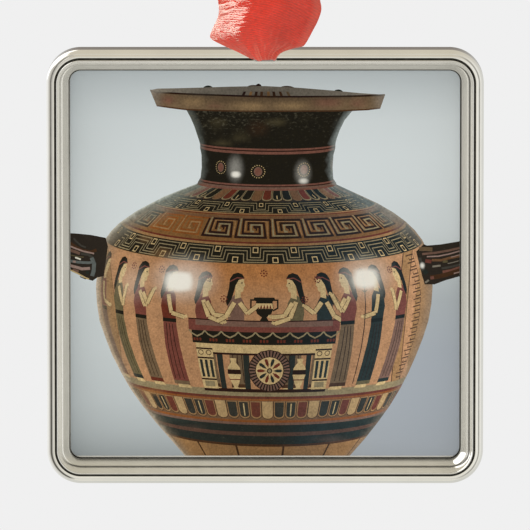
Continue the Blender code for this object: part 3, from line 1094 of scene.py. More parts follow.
class Picture:
    """Collects the printed shapes in the order in which they are laid on."""

    def __init__(self):
        self.shapes = []

    def paint(self, points, ink, surface="body"):
        self.shapes.append((points, ink, surface))

    def flat(self, points, ink, surface):
        """A shape given in millimetres on the panel."""
        self.paint(divided([Vector(point) for point in points], LONGEST_EDGE), ink, surface)

    def hoop(self, top, bottom, ink, surface="body", start=-90, end=90):
        """A stripe round the vase between two levels."""
        steps = max(2, round((end - start) / LONGEST_ARC))
        turns = [start + (end - start) * step / steps for step in range(steps + 1)]
        upper = [on_vase(turn, top) for turn in turns]
        self.paint(upper + [on_vase(turn, bottom) for turn in reversed(turns)], ink, surface)

    def hoops(self, rows, surface="body"):
        for top, bottom, ink in rows:
            self.hoop(top, bottom, ink, surface)


class Band:
    """A zone of the vase that repeats one unit. In a unit a runs from 0 at its left to 1 at its right, and b
    from 0 at the top of the zone to 1 at its foot."""

    def __init__(self, picture, top, bottom, phase, turn):
        self.picture = picture
        self.top, self.bottom = top, bottom
        self.phase, self.turn = phase, turn
        self.width = math.radians(turn) * ring_at((top + bottom) / 2)[1]
        self.height = top - bottom

    def units(self):
        first = math.ceil((-88 - self.phase) / self.turn - 1)
        last = math.floor((88 - self.phase) / self.turn)
        return range(first, last + 1)

    def place(self, unit, a, b):
        phi = self.phase + self.turn * (unit + a)
        return on_vase(phi, self.top - self.height * b)

    def turns_away(self, unit, points):
        """Whether a shape reaches round the side of the vase, out of sight."""
        return max(abs(self.phase + self.turn * (unit + a)) for a, b in points) > FARTHEST_TURN

    def fill(self, unit, points, ink):
        if self.turns_away(unit, points):
            return
        flat = [Vector((a * self.width, b * self.height)) for a, b in points]
        outline = divided(flat, LONGEST_EDGE)
        self.picture.paint([self.place(unit, p.x / self.width, p.y / self.height) for p in outline], ink)

    def line(self, unit, path, width, ink):
        flat = [Vector((a * self.width, b * self.height)) for a, b in path]
        outline = [(p.x / self.width, p.y / self.height) for p in stroke(flat, width)]
        self.fill(unit, outline, ink)


def tongue(left, right, top, foot):
    """A tongue with a round foot, in a band's unit."""
    middle, half = (left + right) / 2, (right - left) / 2
    drop = (foot - top) * 0.2
    points = [(left, top), (left, foot - drop)]
    for step in range(1, 6):
        angle = math.pi * step / 6
        points.append((middle - half * math.cos(angle), foot - drop + drop * math.sin(angle)))
    return points + [(right, foot - drop), (right, top)]


PLAIN_TONGUES = ("straw", "earth")


def paint_tongues(picture, top, foot, phase, turn, inks, edge, pale="bone"):
    """A zone of tongues. Each has a dark border, a pale line and a core, and some have a pale bar in it."""
    band = Band(picture, top, foot, phase, turn)
    share = 1 / len(inks)
    line = edge / band.width
    rise = edge / band.height
    for unit in band.units():
        for cell, (ink, bar) in enumerate(inks):
            left, right = cell * share, (cell + 1) * share
            middle = (left + right) / 2
            inward, high, low = (0.7, 0, 1.0) if ink in PLAIN_TONGUES else (1.4, 0.04, 2.0)
            band.fill(unit, tongue(left, right, 0, 1), "umber")
            band.fill(unit, tongue(left + line * 0.5, right - line * 0.5, 0, 1 - rise * 0.7), pale)
            band.fill(unit, tongue(left + line * inward, right - line * inward, high, 1 - rise * low), ink)
            if bar:
                core = tongue(middle - line * 0.6, middle + line * 0.6, bar, 1 - rise * 3.0)
                band.fill(unit, core, "cream")


WORN_KEYS = (-2, -1)
KEY_FOOT_ARM = ((0.0, 0.0), (0.0, 1.0), (0.86, 1.0), (0.80, 0.18), (0.32, 0.18), (0.345, 0.62))
KEY_HEAD_ARM = ((0.48, 0.39), (0.675, 0.39), (0.69, 0.80), (0.19, 0.79), (0.155, 0.0), (1.0, 0.0))
KEY_HOOK = ((0.49, 0.42), (0.585, 0.50), (0.575, 0.62))
KEY_PALE_LINE = (
    (0.075, -0.08), (0.085, 0.90), (0.765, 0.90), (0.735, 0.285), (0.415, 0.285), (0.43, 0.66), (0.52, 0.66),
)
KEY_TAN_LINE = ((0.245, 0.66), (0.235, 0.10), (0.90, 0.10), (0.92, 0.90))


def paint_key(picture):
    """The large running key, rubbed down to the clay on two of its units."""
    band = Band(picture, 6.14, 3.68, -27.1, 15.0)
    for unit in band.units():
        worn_and_faded = unit in WORN_KEYS
        dark = "rust" if worn_and_faded else "ink"
        if not worn_and_faded:
            band.line(unit, KEY_TAN_LINE, 0.16, "tan")
        band.line(unit, KEY_PALE_LINE, 0.18 if worn_and_faded else 0.24, "tan" if worn_and_faded else "bone")
        band.line(unit, KEY_FOOT_ARM, 0.22 if worn_and_faded else 0.32, dark)
        band.line(unit, KEY_HEAD_ARM, 0.22 if worn_and_faded else 0.32, dark)
        band.line(unit, KEY_HOOK, 0.2, dark)


SMALL_STEP_LINES = ((0.19, 0.48, 0.95), (0.29, 0.26, 0.78), (0.37, 0.06, 0.62))
STEP_LINES = ((0.20, 0.46, 0.95), (0.285, 0.26, 0.81), (0.365, 0.07, 0.66))
STEP_SLANT = 0.015
STEP_SQUARES = ((0.5, 0.07, 0.36), (0.0, 0.66, 0.95), (1.0, 0.66, 0.95))


def paint_steps(picture, top, foot, phase, turn, width, lines, square):
    """A zone of nested steps in pale line on black, with a small square in every bay."""
    band = Band(picture, top, foot, phase, turn)
    for unit in band.units():
        for side, upper, lower in lines:
            rising = [(0, upper), (side, upper), (side + STEP_SLANT, lower)]
            falling = [(1 - a, b) for a, b in reversed(rising)]
            band.line(unit, rising + falling, width, "bone")
        for middle, high, low in STEP_SQUARES:
            left, right = middle - square, middle + square
            path = ((middle, high), (right, high), (right, low), (left, low), (left, high), (middle, high))
            band.line(unit, path, width, "cream")


# Round the neck: hoops, and rosettes with their turn, height, half width and half height
NECK_HOOPS = ((16.05, 15.80, "brick"), (15.80, 15.62, "ink"), (15.62, 15.26, "brick"))
NECK_FOOT_HOOPS = (
    (11.06, 10.84, "brick"), (10.84, 10.70, "ink"), (10.70, 10.44, "plum"), (10.44, 10.22, "brick"),
)
NECK_ROSETTES = (
    (-45, 13.15, 0.8, 0.86), (-8, 12.85, 0.8, 0.86), (34, 13.05, 0.84, 0.92), (80, 13.2, 0.7, 0.9),
)


def paint_neck(picture):
    picture.flat(NECK_LEFT + NECK_RIGHT[::-1], "glaze", "neck")
    picture.hoops(NECK_HOOPS, "neck")
    for phi, level, wide, high in NECK_ROSETTES:
        paint_dots(picture, phi, level, wide * 1.18, high, 18, 0.075, "cream")
        paint_blob(picture, phi, level, wide * 0.74, high * 0.76, "plum")
        paint_blob(picture, phi, level, wide * 0.56, high * 0.58, "brick")
    picture.hoops(NECK_FOOT_HOOPS, "neck")


def vase_degrees(length, level):
    """How far round the vase a length on the panel reaches, in the middle of the picture."""
    return math.degrees(length / ring_at(level)[1])


def paint_blob(picture, phi, level, wide, high, ink):
    """An oval on the vase, foreshortened where the vase turns away."""
    points = []
    for step in range(BLOB_STEPS):
        angle = 2 * math.pi * step / BLOB_STEPS
        turn = phi + vase_degrees(wide * math.cos(angle), level)
        points.append(on_vase(max(-90, min(90, turn)), level + high * math.sin(angle)))
    picture.paint(points, ink, "neck" if level > NECK_FOOT else "body")


def paint_dots(picture, phi, level, wide, high, count, radius, ink):
    """A ring of small dots, without those that turn out of sight."""
    for step in range(count):
        angle = 2 * math.pi * step / count
        turn = phi + vase_degrees(wide * math.cos(angle), level)
        if abs(turn) < FARTHEST_DOT:
            paint_blob(picture, turn, level + high * math.sin(angle), radius, radius, ink)


# Dark knobs behind the rim: place, reach and ink. Short rays on its top: place and ink
RIM_KNOBS = (
    (-7.85, 24.3, 0.75, 0.55, "night"), (-1.6, 24.3, 1.15, 0.62, "umber"), (-0.9, 24.4, 0.5, 0.7, "ink"),
    (3.0, 24.2, 1.3, 0.6, "umber"), (10.1, 23.7, 0.75, 0.6, "night"),
)
RIM_RAYS = (
    (-3.3, "ink"), (-2.3, "tan"), (-1.5, "ink"), (-0.7, "umber"), (0.3, "tan"), (1.1, "ink"), (2.1, "umber"),
    (3.2, "clove"),
)


def paint_rim(picture):
    for x, z, wide, high, ink in RIM_KNOBS:
        points = []
        for step in range(13):
            angle = math.pi * step / 12
            points.append((x - wide * math.cos(angle), z + high * math.sin(angle)))
        picture.flat(points, ink, "rim")
    picture.flat(RIM_TOP + RIM_FRONT[::-1], "slate", "rim")
    for x, ink in RIM_RAYS:
        picture.flat([(x, 23.3), (x + 0.4, 23.3), (x * 0.9 + 0.35, 24.0), (x * 0.9, 24.0)], ink, "rim")
    picture.flat(RIM_FRONT + RIM_FOOT[::-1], "clove", "rim")
    for table, lift, width, ink in ((RIM_FRONT, 0.0, 0.24, "ink"), (RIM_FOOT, 0.1, 0.2, "umber")):
        path = [Vector((x, z + lift)) for x, z in table]
        picture.paint(divided(stroke(path, width), LONGEST_EDGE), ink, "rim")


class Figure:
    """A generic draped figure in profile. Its own measure is a hundred parts from sole to crown."""

    def __init__(self, picture, phi, facing, foot, tall):
        self.picture = picture
        self.phi, self.facing, self.foot, self.tall = phi, facing, foot, tall

    def place(self, x, y):
        level = self.foot + self.tall * y / 100
        turn = self.phi + vase_degrees(self.facing * self.tall * x / 100, -6)
        return on_vase(max(-89, min(89, turn)), level)

    def fill(self, points, ink):
        outline = divided([Vector(point) for point in points], 6)
        self.picture.paint([self.place(p.x, p.y) for p in outline], ink)

    def line(self, path, width, ink):
        self.fill([tuple(p) for p in stroke([Vector(point) for point in path], width)], ink)


def draw_arms(figure, reach):
    for shoulder, elbow, wrist in reach:
        for start, end, width in ((shoulder, elbow, 3.8), (elbow, wrist, 3.4)):
            figure.line((start, end), width + 0.9, "umber")
            figure.line((start, end), width, "cream")
        figure.line((wrist, (wrist[0] + 2.6, wrist[1] + 1.2)), 2.4, "cream")


def draw_figure(figure, bodice, skirt, hem, reach, staff=False):
    figure.fill(((-5, 3), (-4, 5), (3, 4.4), (9.5, 1.2), (9.5, 0), (-5, 0)), "cream")
    figure.fill(((-8.5, 3), (-7.6, 30), (-6.3, 55), (6.3, 55), (8.0, 30), (9.0, 3)), skirt)
    figure.fill(((-8.7, 2.6), (-8.3, 5.6), (8.8, 5.6), (9.2, 2.6)), hem)
    for fold in (-4.6, -0.6, 3.4):
        figure.line(((fold * 0.7, 52), (fold, 30), (fold * 1.25, 7)), 0.7, "ink")
    torso = ((-6.5, 55), (-8.2, 66), (-6.8, 77), (-2, 81.5), (3, 80.5), (6.2, 75), (6.7, 65), (6.3, 55))
    figure.fill(torso, bodice)
    figure.fill(((-6.8, 53.4), (6.6, 53.4), (6.6, 56.4), (-6.8, 56.4)), "glaze")
    figure.fill(((-1.8, 78), (3.4, 79.5), (3.2, 86), (-1.4, 86)), "cream")
    figure.fill(
        (
            (-1.5, 85), (2.2, 83.4), (5.2, 84.6), (5.9, 86.6), (5.6, 88.0), (7.2, 89.6), (6.0, 92.4),
            (6.2, 95.4),
            (3.2, 98), (-1.5, 97),
        ),
        "cream",
    )
    figure.fill(
        (
            (6.6, 96.0), (4.6, 99.2), (0.6, 100.6), (-3.6, 99.2), (-6.4, 95), (-7.0, 87), (-9.4, 76),
            (-8.2, 71.5),
            (-4.6, 77.5), (-2.6, 84), (-1.2, 89.5), (1.4, 94.2),
        ),
        "glaze",
    )
    figure.line(((-6.4, 92.6), (0, 96.2), (6.2, 95.6)), 0.9, "wine")
    figure.line(((3.6, 91.8), (5.0, 91.9)), 0.9, "ink")
    draw_arms(figure, reach)
    if staff:
        figure.line(((13.2, 4), (13.2, 92)), 0.9, "ink")
        for leaf in range(5):
            figure.fill(((13.2, 78 + leaf * 3.4), (16.4, 80.6 + leaf * 3.4), (13.4, 80 + leaf * 3.4)), "moss")
            figure.fill(((13.2, 78 + leaf * 3.4), (10.0, 80.6 + leaf * 3.4), (13.0, 80 + leaf * 3.4)), "moss")


ARMS_RAISED = (((-1.5, 76), (5.5, 64), (12.6, 76)), ((2.5, 75), (8.5, 66.5), (14.8, 79)))
ARMS_GIVING = (((-1.0, 76), (2.2, 61), (14.5, 58.5)),)
ARMS_PRAYING = (((-1.0, 76), (6.5, 61.5), (10.6, 78)),)

ARMS_LAID = (((-1.0, 76), (4.0, 62), (17.0, 57.5)), ((2.0, 75), (9.0, 64), (20.0, 63)))
ARMS_WIDE = (((-2.0, 75), (-9.0, 63), (-17.0, 58.5)), ((2.5, 75), (9.5, 66), (17.0, 72)))

# Turn round the vase, facing, bodice, skirt, hem, arms and whether the figure holds a leafy staff
PROCESSION = (
    (-73, 1, "wine", "plum", "maroon", ARMS_GIVING, False),
    (-60, 1, "moss", "moss", "night", ARMS_PRAYING, False),
    (-47.5, 1, "wine", "clove", "maroon", ARMS_RAISED, False),
    (-34.5, 1, "maroon", "wine", "clove", ARMS_GIVING, False),
    (30, -1, "wine", "clove", "umber", ARMS_RAISED, False),
    (42.5, -1, "night", "night", "moss", ARMS_GIVING, True),
    (54.5, -1, "wine", "plum", "night", ARMS_PRAYING, False),
)
GUESTS = (
    (-21, 1, "wine", "clove", "umber", ARMS_LAID),
    (-9.5, 1, "plum", "clove", "umber", ARMS_WIDE),
    (10.5, -1, "moss", "clove", "umber", ARMS_LAID),
    (21, -1, "night", "clove", "umber", ARMS_WIDE),
)


def paint_altar(picture):
    """A long table with a fringed cloth, a bowl on it, and between its posts a round shield."""
    band = Band(picture, FRIEZE_TOP, FRIEZE_FOOT, -27.0, 54.0)

    def block(left, right, high, low, ink):
        band.fill(0, ((left, high), (right, high), (right, low), (left, low)), ink)

    block(0.10, 0.90, 0.60, 0.68, "cream")
    block(0.10, 0.90, 0.675, 0.69, "ink")
    block(0.04, 0.96, 0.945, 0.97, "ink")
    for left in (0.04, 0.845):
        right = left + 0.115
        block(left, right, 0.60, 0.95, "cream")
        for high in (0.645, 0.715, 0.875):
            block(left, right, high, high + 0.012, "ink")
        for side in (0.012, 0.048, 0.084):
            block(left + side, left + side + 0.02, 0.735, 0.865, "night")
        paint_scroll(band, left + 0.03, 0.68)
        paint_scroll(band, left + 0.085, 0.68)
        block(left + 0.02, left + 0.095, 0.895, 0.935, "bone")
    for left, right in ((0.18, 0.22), (0.36, 0.40), (0.67, 0.71), (0.785, 0.82)):
        block(left, right, 0.69, 0.945, "night")
    for middle in (0.29, 0.745):
        paint_urn(band, middle)
    block(0.02, 0.98, 0.47, 0.61, "glaze")
    block(0.0, 1.0, 0.43, 0.515, "wine")
    block(0.05, 0.95, 0.435, 0.475, "plum")
    band.line(0, ((0.0, 0.43), (1.0, 0.43)), 0.16, "ink")
    swags = 9
    for swag in range(swags):
        left = swag / swags
        right = left + 1 / swags
        middle = (left + right) / 2
        path = ((left, 0.515), (left + 0.02, 0.54), (middle, 0.56), (right - 0.02, 0.54), (right, 0.515))
        band.line(0, path, 0.2, "bone")
        for spot in (left + 0.035, middle, right - 0.035):
            band.fill(0, tongue(spot - 0.007, spot + 0.007, 0.572, 0.594), "maroon")
    paint_bowl(band)
    paint_shield(picture, 2.0, -14.9, 2.95)


SCROLL_REACH = 0.018


def paint_scroll(band, a, b):
    """A small ring, as at the ends of a scroll."""
    turns = [step * math.pi / 4 for step in range(9)]
    ring = [(a + SCROLL_REACH * math.cos(turn), b + SCROLL_REACH * math.sin(turn)) for turn in turns]
    band.line(0, ring, 0.1, "ink")


def paint_urn(band, middle):
    """A pale storage jar with two small handles and a dark belt."""
    half = (
        (0.022, 0.715), (0.016, 0.745), (0.042, 0.785), (0.046, 0.84), (0.026, 0.905), (0.014, 0.93),
        (0.026, 0.945),
    )
    right = [(middle + a, b) for a, b in half]
    left = [(middle - a, b) for a, b in reversed(half)]
    band.fill(0, right + left, "cream")
    belt = ((-0.045, 0.80), (0.045, 0.80), (0.047, 0.835), (-0.047, 0.835))
    band.fill(0, [(middle + a, b) for a, b in belt], "ink")
    band.line(0, [(middle - 0.04, 0.875), (middle + 0.04, 0.875)], 0.14, "maroon")


BOWL_HANDLE = ((0.06, 0.27), (0.085, 0.27), (0.085, 0.33), (0.055, 0.35))


def paint_bowl(band):
    body = (
        (0.435, 0.25), (0.565, 0.25), (0.568, 0.27), (0.552, 0.28), (0.558, 0.33), (0.545, 0.375),
        (0.515, 0.40),
        (0.53, 0.43), (0.47, 0.43), (0.485, 0.40), (0.455, 0.375), (0.442, 0.33), (0.448, 0.28),
        (0.432, 0.27),
    )
    for side in (-1, 1):
        band.line(0, [(0.5 + side * reach, b) for reach, b in BOWL_HANDLE], 0.22, "glaze")
    band.fill(0, body, "glaze")
    band.fill(0, ((0.448, 0.295), (0.552, 0.295), (0.554, 0.335), (0.446, 0.335)), "cream")
    for leaf in range(5):
        left = 0.453 + leaf * 0.0195
        band.fill(0, ((left, 0.334), (left + 0.016, 0.334), (left + 0.008, 0.302)), "maroon")


SPOKES = 36
PETALS = 10
PETAL = ((0.16, 0), (0.36, -0.20), (0.54, -0.13), (0.60, 0), (0.54, 0.13), (0.36, 0.20))


def paint_shield(picture, phi, level, radius):
    """A round shield: a dark ring with fine spokes round a pale rosette."""

    def disc(share, ink):
        paint_blob(picture, phi, level, radius * share, radius * share, ink)

    def leaf(angle, corners, ink):
        points = []
        for share, lean in corners:
            x = radius * share * math.cos(angle + lean)
            z = radius * share * math.sin(angle + lean)
            points.append(on_vase(phi + vase_degrees(x, level), level + z))
        picture.paint(points, ink)

    disc(1, "ink")
    disc(0.965, "plum")
    half = math.pi / SPOKES * 0.45
    for spoke in range(SPOKES):
        corners = ((0.66, -half), (0.95, -half), (0.95, half), (0.66, half))
        leaf(2 * math.pi * spoke / SPOKES, corners, "glaze")
    disc(0.68, "ink")
    disc(0.65, "cream")
    for petal in range(PETALS):
        leaf(2 * math.pi * petal / PETALS, PETAL, "maroon" if petal % 2 else "night")
    disc(0.13, "ink")
    disc(0.08, "bone")


# The frieze: its top and foot, the figures' feet and heights, the ladders at its two ends, and its rosettes
FRIEZE_TOP = -0.05
FRIEZE_FOOT = -18.49
FIGURE_FOOT = -17.75
GUEST_HEIGHT = 16.4
WALKER_HEIGHT = 16.9
LADDERS = ((-86, -79), (61.5, 69.5))
LADDER_FOOT = -17.6
LADDER_RUNGS = 17
LADDER_RADIUS = 22
FRIEZE_ROSETTES = (
    (-39, -1.6), (-20, -2.2), (-14, -5.0), (14, -5.0), (19, -2.2), (36.5, -1.6), (50.5, -1.8), (-53, -1.7),
    (0, -1.3),
)


def paint_ladder(picture, start, end):
    """A ladder of hooks at an end of the frieze."""
    picture.hoop(FRIEZE_TOP, LADDER_FOOT, "tan", start=start, end=end)
    for rung in range(LADDER_RUNGS):
        high = -0.5 - rung
        low = high - 0.62
        hook = start + 3
        corners = ((start + 1, high), (end - 1, high), (end - 1, low), (hook, low), (hook, high - 0.3))
        flat = [Vector((math.radians(phi) * LADDER_RADIUS, level)) for phi, level in corners]
        outline = stroke(flat, 0.16)
        picture.paint([on_vase(math.degrees(p.x / LADDER_RADIUS), p.y) for p in outline], "umber")
    for edge in (start, end):
        picture.hoop(FRIEZE_TOP, LADDER_FOOT, "umber", start=edge - 0.35, end=edge + 0.35)


def paint_frieze(picture):
    picture.hoop(FRIEZE_TOP, FRIEZE_FOOT, "clay")
    picture.hoop(-17.55, FRIEZE_FOOT, "bone")
    for start, end in LADDERS:
        paint_ladder(picture, start, end)
    for phi, facing, bodice, skirt, hem, _ in GUESTS:
        draw_figure(Figure(picture, phi, facing, FIGURE_FOOT, GUEST_HEIGHT), bodice, skirt, hem, ())
    paint_altar(picture)
    for phi, facing, _, _, _, reach in GUESTS:
        draw_arms(Figure(picture, phi, facing, FIGURE_FOOT, GUEST_HEIGHT), reach)
    for phi, facing, bodice, skirt, hem, reach, staff in PROCESSION:
        walker = Figure(picture, phi, facing, FIGURE_FOOT, WALKER_HEIGHT)
        draw_figure(walker, bodice, skirt, hem, reach, staff)
    for phi, level in FRIEZE_ROSETTES:
        paint_dots(picture, phi, level, 0.42, 0.42, 8, 0.11, "maroon")
        paint_blob(picture, phi, level, 0.14, 0.14, "maroon")


# Hoops of the body from the shoulder down, and the rays at its foot
KEY_HOOPS = ((7.02, 6.86, "tan"), (6.86, 6.72, "maroon"), (6.72, 2.50, "ochre"), (6.62, 6.26, "earth"))
STEP_HOOPS = ((3.04, 2.80, "maroon"), (2.80, 2.50, "tan"), (2.50, 0.02, "glaze"))
LOWER_HOOPS = ((-18.49, -18.84, "maroon"), (-18.84, -19.12, "rust"), (-19.12, -21.80, "earth"))
FOOT_HOOPS = (
    (-21.80, -22.15, "rust"), (-22.15, -22.48, "plum"), (-22.48, -23.51, "night"), (-23.51, -24.04, "dusk"),
    (-24.04, -25.18, "night"), (-25.18, -25.50, "umber"), (-25.50, -30.0, "tan"),
)
FOOT_RAYS = (-66, -41, -17, 9, 36, 62)
# Tongues of the shoulder and of the lower body: ink, and where a pale bar starts
SHOULDER_TONGUES = (("earth", 0), ("maroon", 0), ("glaze", 0.5), ("glaze", 0))
LOWER_TONGUES = (("coal", 0), ("coal", 0.12), ("maroon", 0), ("straw", 0))


def paint_body(picture):
    picture.flat(BODY_LEFT + BODY_RIGHT[::-1], "tan", "body")
    picture.hoop(10.5, 8.62, "coal")
    paint_tongues(picture, 10.35, 8.72, -9.0, 28.0, SHOULDER_TONGUES, 0.10)
    picture.hoop(8.66, 7.02, "glaze")
    paint_steps(picture, 8.55, 7.08, -12.0, 20.6, 0.085, SMALL_STEP_LINES, 0.05)
    picture.hoops(KEY_HOOPS)
    paint_key(picture)
    picture.hoops(STEP_HOOPS)
    paint_steps(picture, 2.42, 0.10, 4.4, 15.0, 0.125, STEP_LINES, 0.062)
    paint_frieze(picture)
    picture.hoops(LOWER_HOOPS)
    paint_tongues(picture, -19.20, -21.70, -77.4, 20.2, LOWER_TONGUES, 0.14, "tan")
    picture.hoops(FOOT_HOOPS)
    for phi in FOOT_RAYS:
        picture.hoop(-25.50, -30.0, "umber", start=phi - 0.6, end=phi + 0.6)


# The two printed handles: their outline, and the streaks along them with their width and ink
LEFT_HANDLE_OUTLINE = (
    (-27.18, 4.31), (-26.19, 4.28), (-24.07, 4.07), (-22.03, 3.66), (-21.74, 2.47), (-22.31, -1.66),
    (-23.22, -1.87), (-23.86, -2.33), (-24.64, -2.09), (-26.75, -0.88), (-27.18, -0.66),
)
LEFT_HANDLE_STREAKS = (
    (((-27.07, 3.03), (-26.19, 2.39), (-25.27, 1.9), (-24.07, 1.68), (-23.3, 1.97)), 0.42, "umber"),
    (((-26.47, 3.6), (-26.19, 3.25), (-25.48, 2.61), (-24.78, 2.32)), 0.22, "smoke"),
    (((-27.07, 2.54), (-26.19, 2.18), (-25.13, 1.79), (-23.65, 1.47)), 0.22, "rose"),
    (((-27.07, 1.97), (-26.33, 1.75), (-25.62, 1.47)), 0.4, "plum"),
    (((-25.48, 1.47), (-24.42, 1.33), (-23.86, 0.9)), 0.35, "smoke"),
    (((-26.89, 1.26), (-25.77, 1.01), (-25.06, 0.97)), 0.14, "moss"),
    (((-26.26, 0.94), (-25.48, 0.65)), 0.22, "white"),
    (((-27.07, 0.47), (-25.77, 0.26), (-24.35, 0.19), (-23.65, 0.33)), 0.36, "steel"),
    (((-24.0, 0.9), (-23.65, 0.05), (-23.72, -0.95), (-23.93, -1.66)), 0.55, "steel"),
    (((-26.61, 0.37), (-26.19, 0.33)), 0.26, "rose"),
    (((-27.07, -0.17), (-26.05, -0.45), (-25.34, -0.66), (-24.21, -0.59)), 0.4, "rose"),
    (((-26.61, -0.73), (-25.77, -1.02)), 0.3, "plum"),
    (((-24.78, -1.13), (-24.35, -1.23)), 0.4, "night"),
    (((-26.97, -0.81), (-25.91, -1.3), (-24.78, -1.94), (-24.35, -2.09)), 0.2, "cream"),
    (((-25.62, -1.73), (-24.78, -2.09)), 0.12, "ink"),
)
RIGHT_HANDLE_OUTLINE = (
    (20.9, 1.75), (21.95, 2.79), (22.38, 2.59), (24.28, 2.74), (27.18, 3.23), (27.18, -1.62),
    (24.99, -2.24), (23.44, -2.83), (22.1, -2.83), (21.74, -1.66),
)
RIGHT_HANDLE_STREAKS = (
    (((21.32, 2.11), (22.17, 2.11), (23.15, 2.04)), 0.55, "clove"),
    (((21.74, 1.4), (23.58, 1.58), (25.41, 1.9), (27.18, 2.32)), 0.3, "plum"),
    (((22.38, 1.04), (24.0, 1.11), (25.41, 1.4), (27.18, 1.9)), 0.18, "rose"),
    (((22.17, 0.47), (23.01, 0.33)), 0.5, "wine"),
    (((23.08, 0.55), (24.42, 0.55), (25.41, 0.83), (27.18, 1.19)), 0.34, "earth"),
    (((25.7, 0.97), (26.4, 1.15), (27.18, 1.4)), 0.12, "rose"),
    (((24.57, 0.33), (25.27, 0.37)), 0.3, "moss"),
    (((23.15, -0.34), (24.28, -0.2)), 0.26, "ash"),
    (((25.27, 0.08), (25.98, 0.23), (26.82, 0.47)), 0.12, "ash"),
    (((24.42, -0.59), (25.41, -0.45), (27.18, -0.02)), 0.3, "smoke"),
    (((24.57, -1.09), (25.7, -0.88), (27.18, -0.38)), 0.36, "brick"),
    (((22.87, -1.87), (24.0, -1.73), (25.41, -1.37), (27.18, -0.81)), 0.62, "umber"),
    (((22.87, -1.94), (23.37, -1.87)), 0.42, "brick"),
    (((26.12, -1.3), (27.18, -1.02)), 0.16, "rose"),
    (((21.39, 0.9), (21.53, 0.05), (21.88, -0.95)), 0.45, "smoke"),
    (((22.03, -0.81), (22.38, -1.37)), 0.62, "night"),
    (((22.17, -2.58), (22.66, -2.23)), 0.26, "ash"),
)


def paint_handles(picture):
    for outline, streaks in (
        (LEFT_HANDLE_OUTLINE, LEFT_HANDLE_STREAKS),
        (RIGHT_HANDLE_OUTLINE, RIGHT_HANDLE_STREAKS),
    ):
        picture.flat(outline, "coal", "handle")
        for path, width, ink in streaks:
            picture.flat(stroke([Vector(point) for point in path], width), ink, "handle")


def paint_ground(picture):
    """The plain wall behind the vase, laid on last so that its edges cut the vase's outline clean."""
    wall = 28.0
    for side, neck, body in ((-1, NECK_LEFT, BODY_LEFT), (1, NECK_RIGHT, BODY_RIGHT)):
        outline = [(side * wall, wall), (neck[0][0], wall), *neck[:-1], *body, (body[-1][0], -wall - 1)]
        picture.flat(outline + [(side * wall, -wall - 1)], "paper", "wall")
    picture.flat([(-11.7, wall), (12.8, wall), (12.8, 22.1), (-11.7, 22.1)], "paper", "wall")


def smooth(low, high, value):
    share = min(1, max(0, (value - low) / (high - low)))
    return share * share * (3 - 2 * share)


# Tone of the printed wall by height, down its left and its right
WALL_LEFT = (
    (-27, 164), (-23, 180), (-19, 191), (-12, 199), (-5, 204), (5, 211), (10, 210), (20, 204), (25.6, 192),
)
WALL_RIGHT = (
    (-27, 170), (-23, 166), (-12, 168), (-5, 174), (5, 202), (10, 208), (15, 209), (20, 206), (25.6, 192),
)


def panel_half():
    """Half the width of the recess in millimetres, as the picture is measured."""
    return FRAME_SIDE * 500 - recess_inset() * 1000


def wall_shade(point):
    share = smooth(-22, 24, point.x)
    tone = read_off(WALL_LEFT, point.y) * (1 - share) + read_off(WALL_RIGHT, point.y) * share
    tone += 4 * (1 - abs(point.x) / 27)
    cool = 6 * smooth(0, -14, point.y) * share
    # Painted shade darkens the wall along the panel's left edge, and painted light brightens it along the
    # right edge.
    from_left, from_right = panel_half() + point.x, panel_half() - point.x
    tone -= 8 * math.exp(-from_left / 0.5) + 9 * math.exp(-from_left / 2.4)
    tone += (4 + 5 * smooth(-5, 5, point.y)) * math.exp(-from_right / 2.4)
    return linear_tone((tone - 7, tone + 2, tone + 10 + cool))


def side_of(point):
    """How far across the printed vase a point is, from -1 at its left edge to 1 at its right."""
    left, right = edges_at(point.y)
    return (point.x - (left + right) / 2) / ((right - left) / 2)


# Soft stains: centre, half width, half height, ink and strength
STAINS = (
    (0.2, 23.6, 4.2, 0.7, "umber", 0.55), (-8.5, 23.6, 4.0, 0.5, "smoke", 0.35),
    (10.0, 23.2, 4.5, 0.4, "smoke", 0.35), (-13.4, 22.9, 1.3, 0.9, "brick", 0.8),
    (-9.8, 22.6, 2.4, 0.8, "straw", 0.35), (-5.2, 23.0, 1.8, 0.5, "coal", 0.5),
    (-2.2, 21.9, 3.4, 0.8, "straw", 0.5), (3.6, 21.9, 3.6, 0.7, "straw", 0.5),
    (8.6, 22.5, 3.2, 0.9, "brick", 0.7), (12.9, 22.4, 1.9, 0.8, "brick", 0.6),
    (-7.0, 21.9, 1.6, 0.5, "brick", 0.5), (-14.6, 24.1, 2.2, 0.5, "ash", 0.8),
    (-6.5, 19.6, 1.8, 0.9, "moss", 0.35), (-3.4, 17.8, 2.0, 0.7, "moss", 0.45),
    (1.5, 19.9, 2.2, 0.6, "moss", 0.5), (-6.0, 17.0, 2.2, 0.6, "moss", 0.6),
    (5.6, 20.2, 2.0, 0.4, "moss", 0.35), (-1.0, 18.9, 2.2, 1.6, "umber", 0.4),
    (-14.4, 1.4, 2.2, 1.4, "tan", 0.35), (-16.5, 3.6, 1.6, 1.0, "tan", 0.3),
    (18.6, 4.4, 1.6, 1.2, "smoke", 0.5), (17.0, 6.4, 1.6, 0.9, "smoke", 0.5),
    (13.2, 8.0, 1.6, 0.7, "smoke", 0.45), (-16.0, -17.8, 3.0, 0.8, "tan", 0.5),
    (9.0, -24.6, 4.0, 0.5, "plum", 0.3), (-10.0, -22.8, 3.0, 0.5, "plum", 0.25),
)


def stained(tone, point):
    for x, z, wide, high, ink, strength in STAINS:
        away = math.hypot((point.x - x) / wide, (point.y - z) / high)
        if away < 1:
            share = strength * (1 - smooth(0.1, 1.0, away))
            tone = blended(tone, linear_tone(INKS[ink]), share)
    return tone


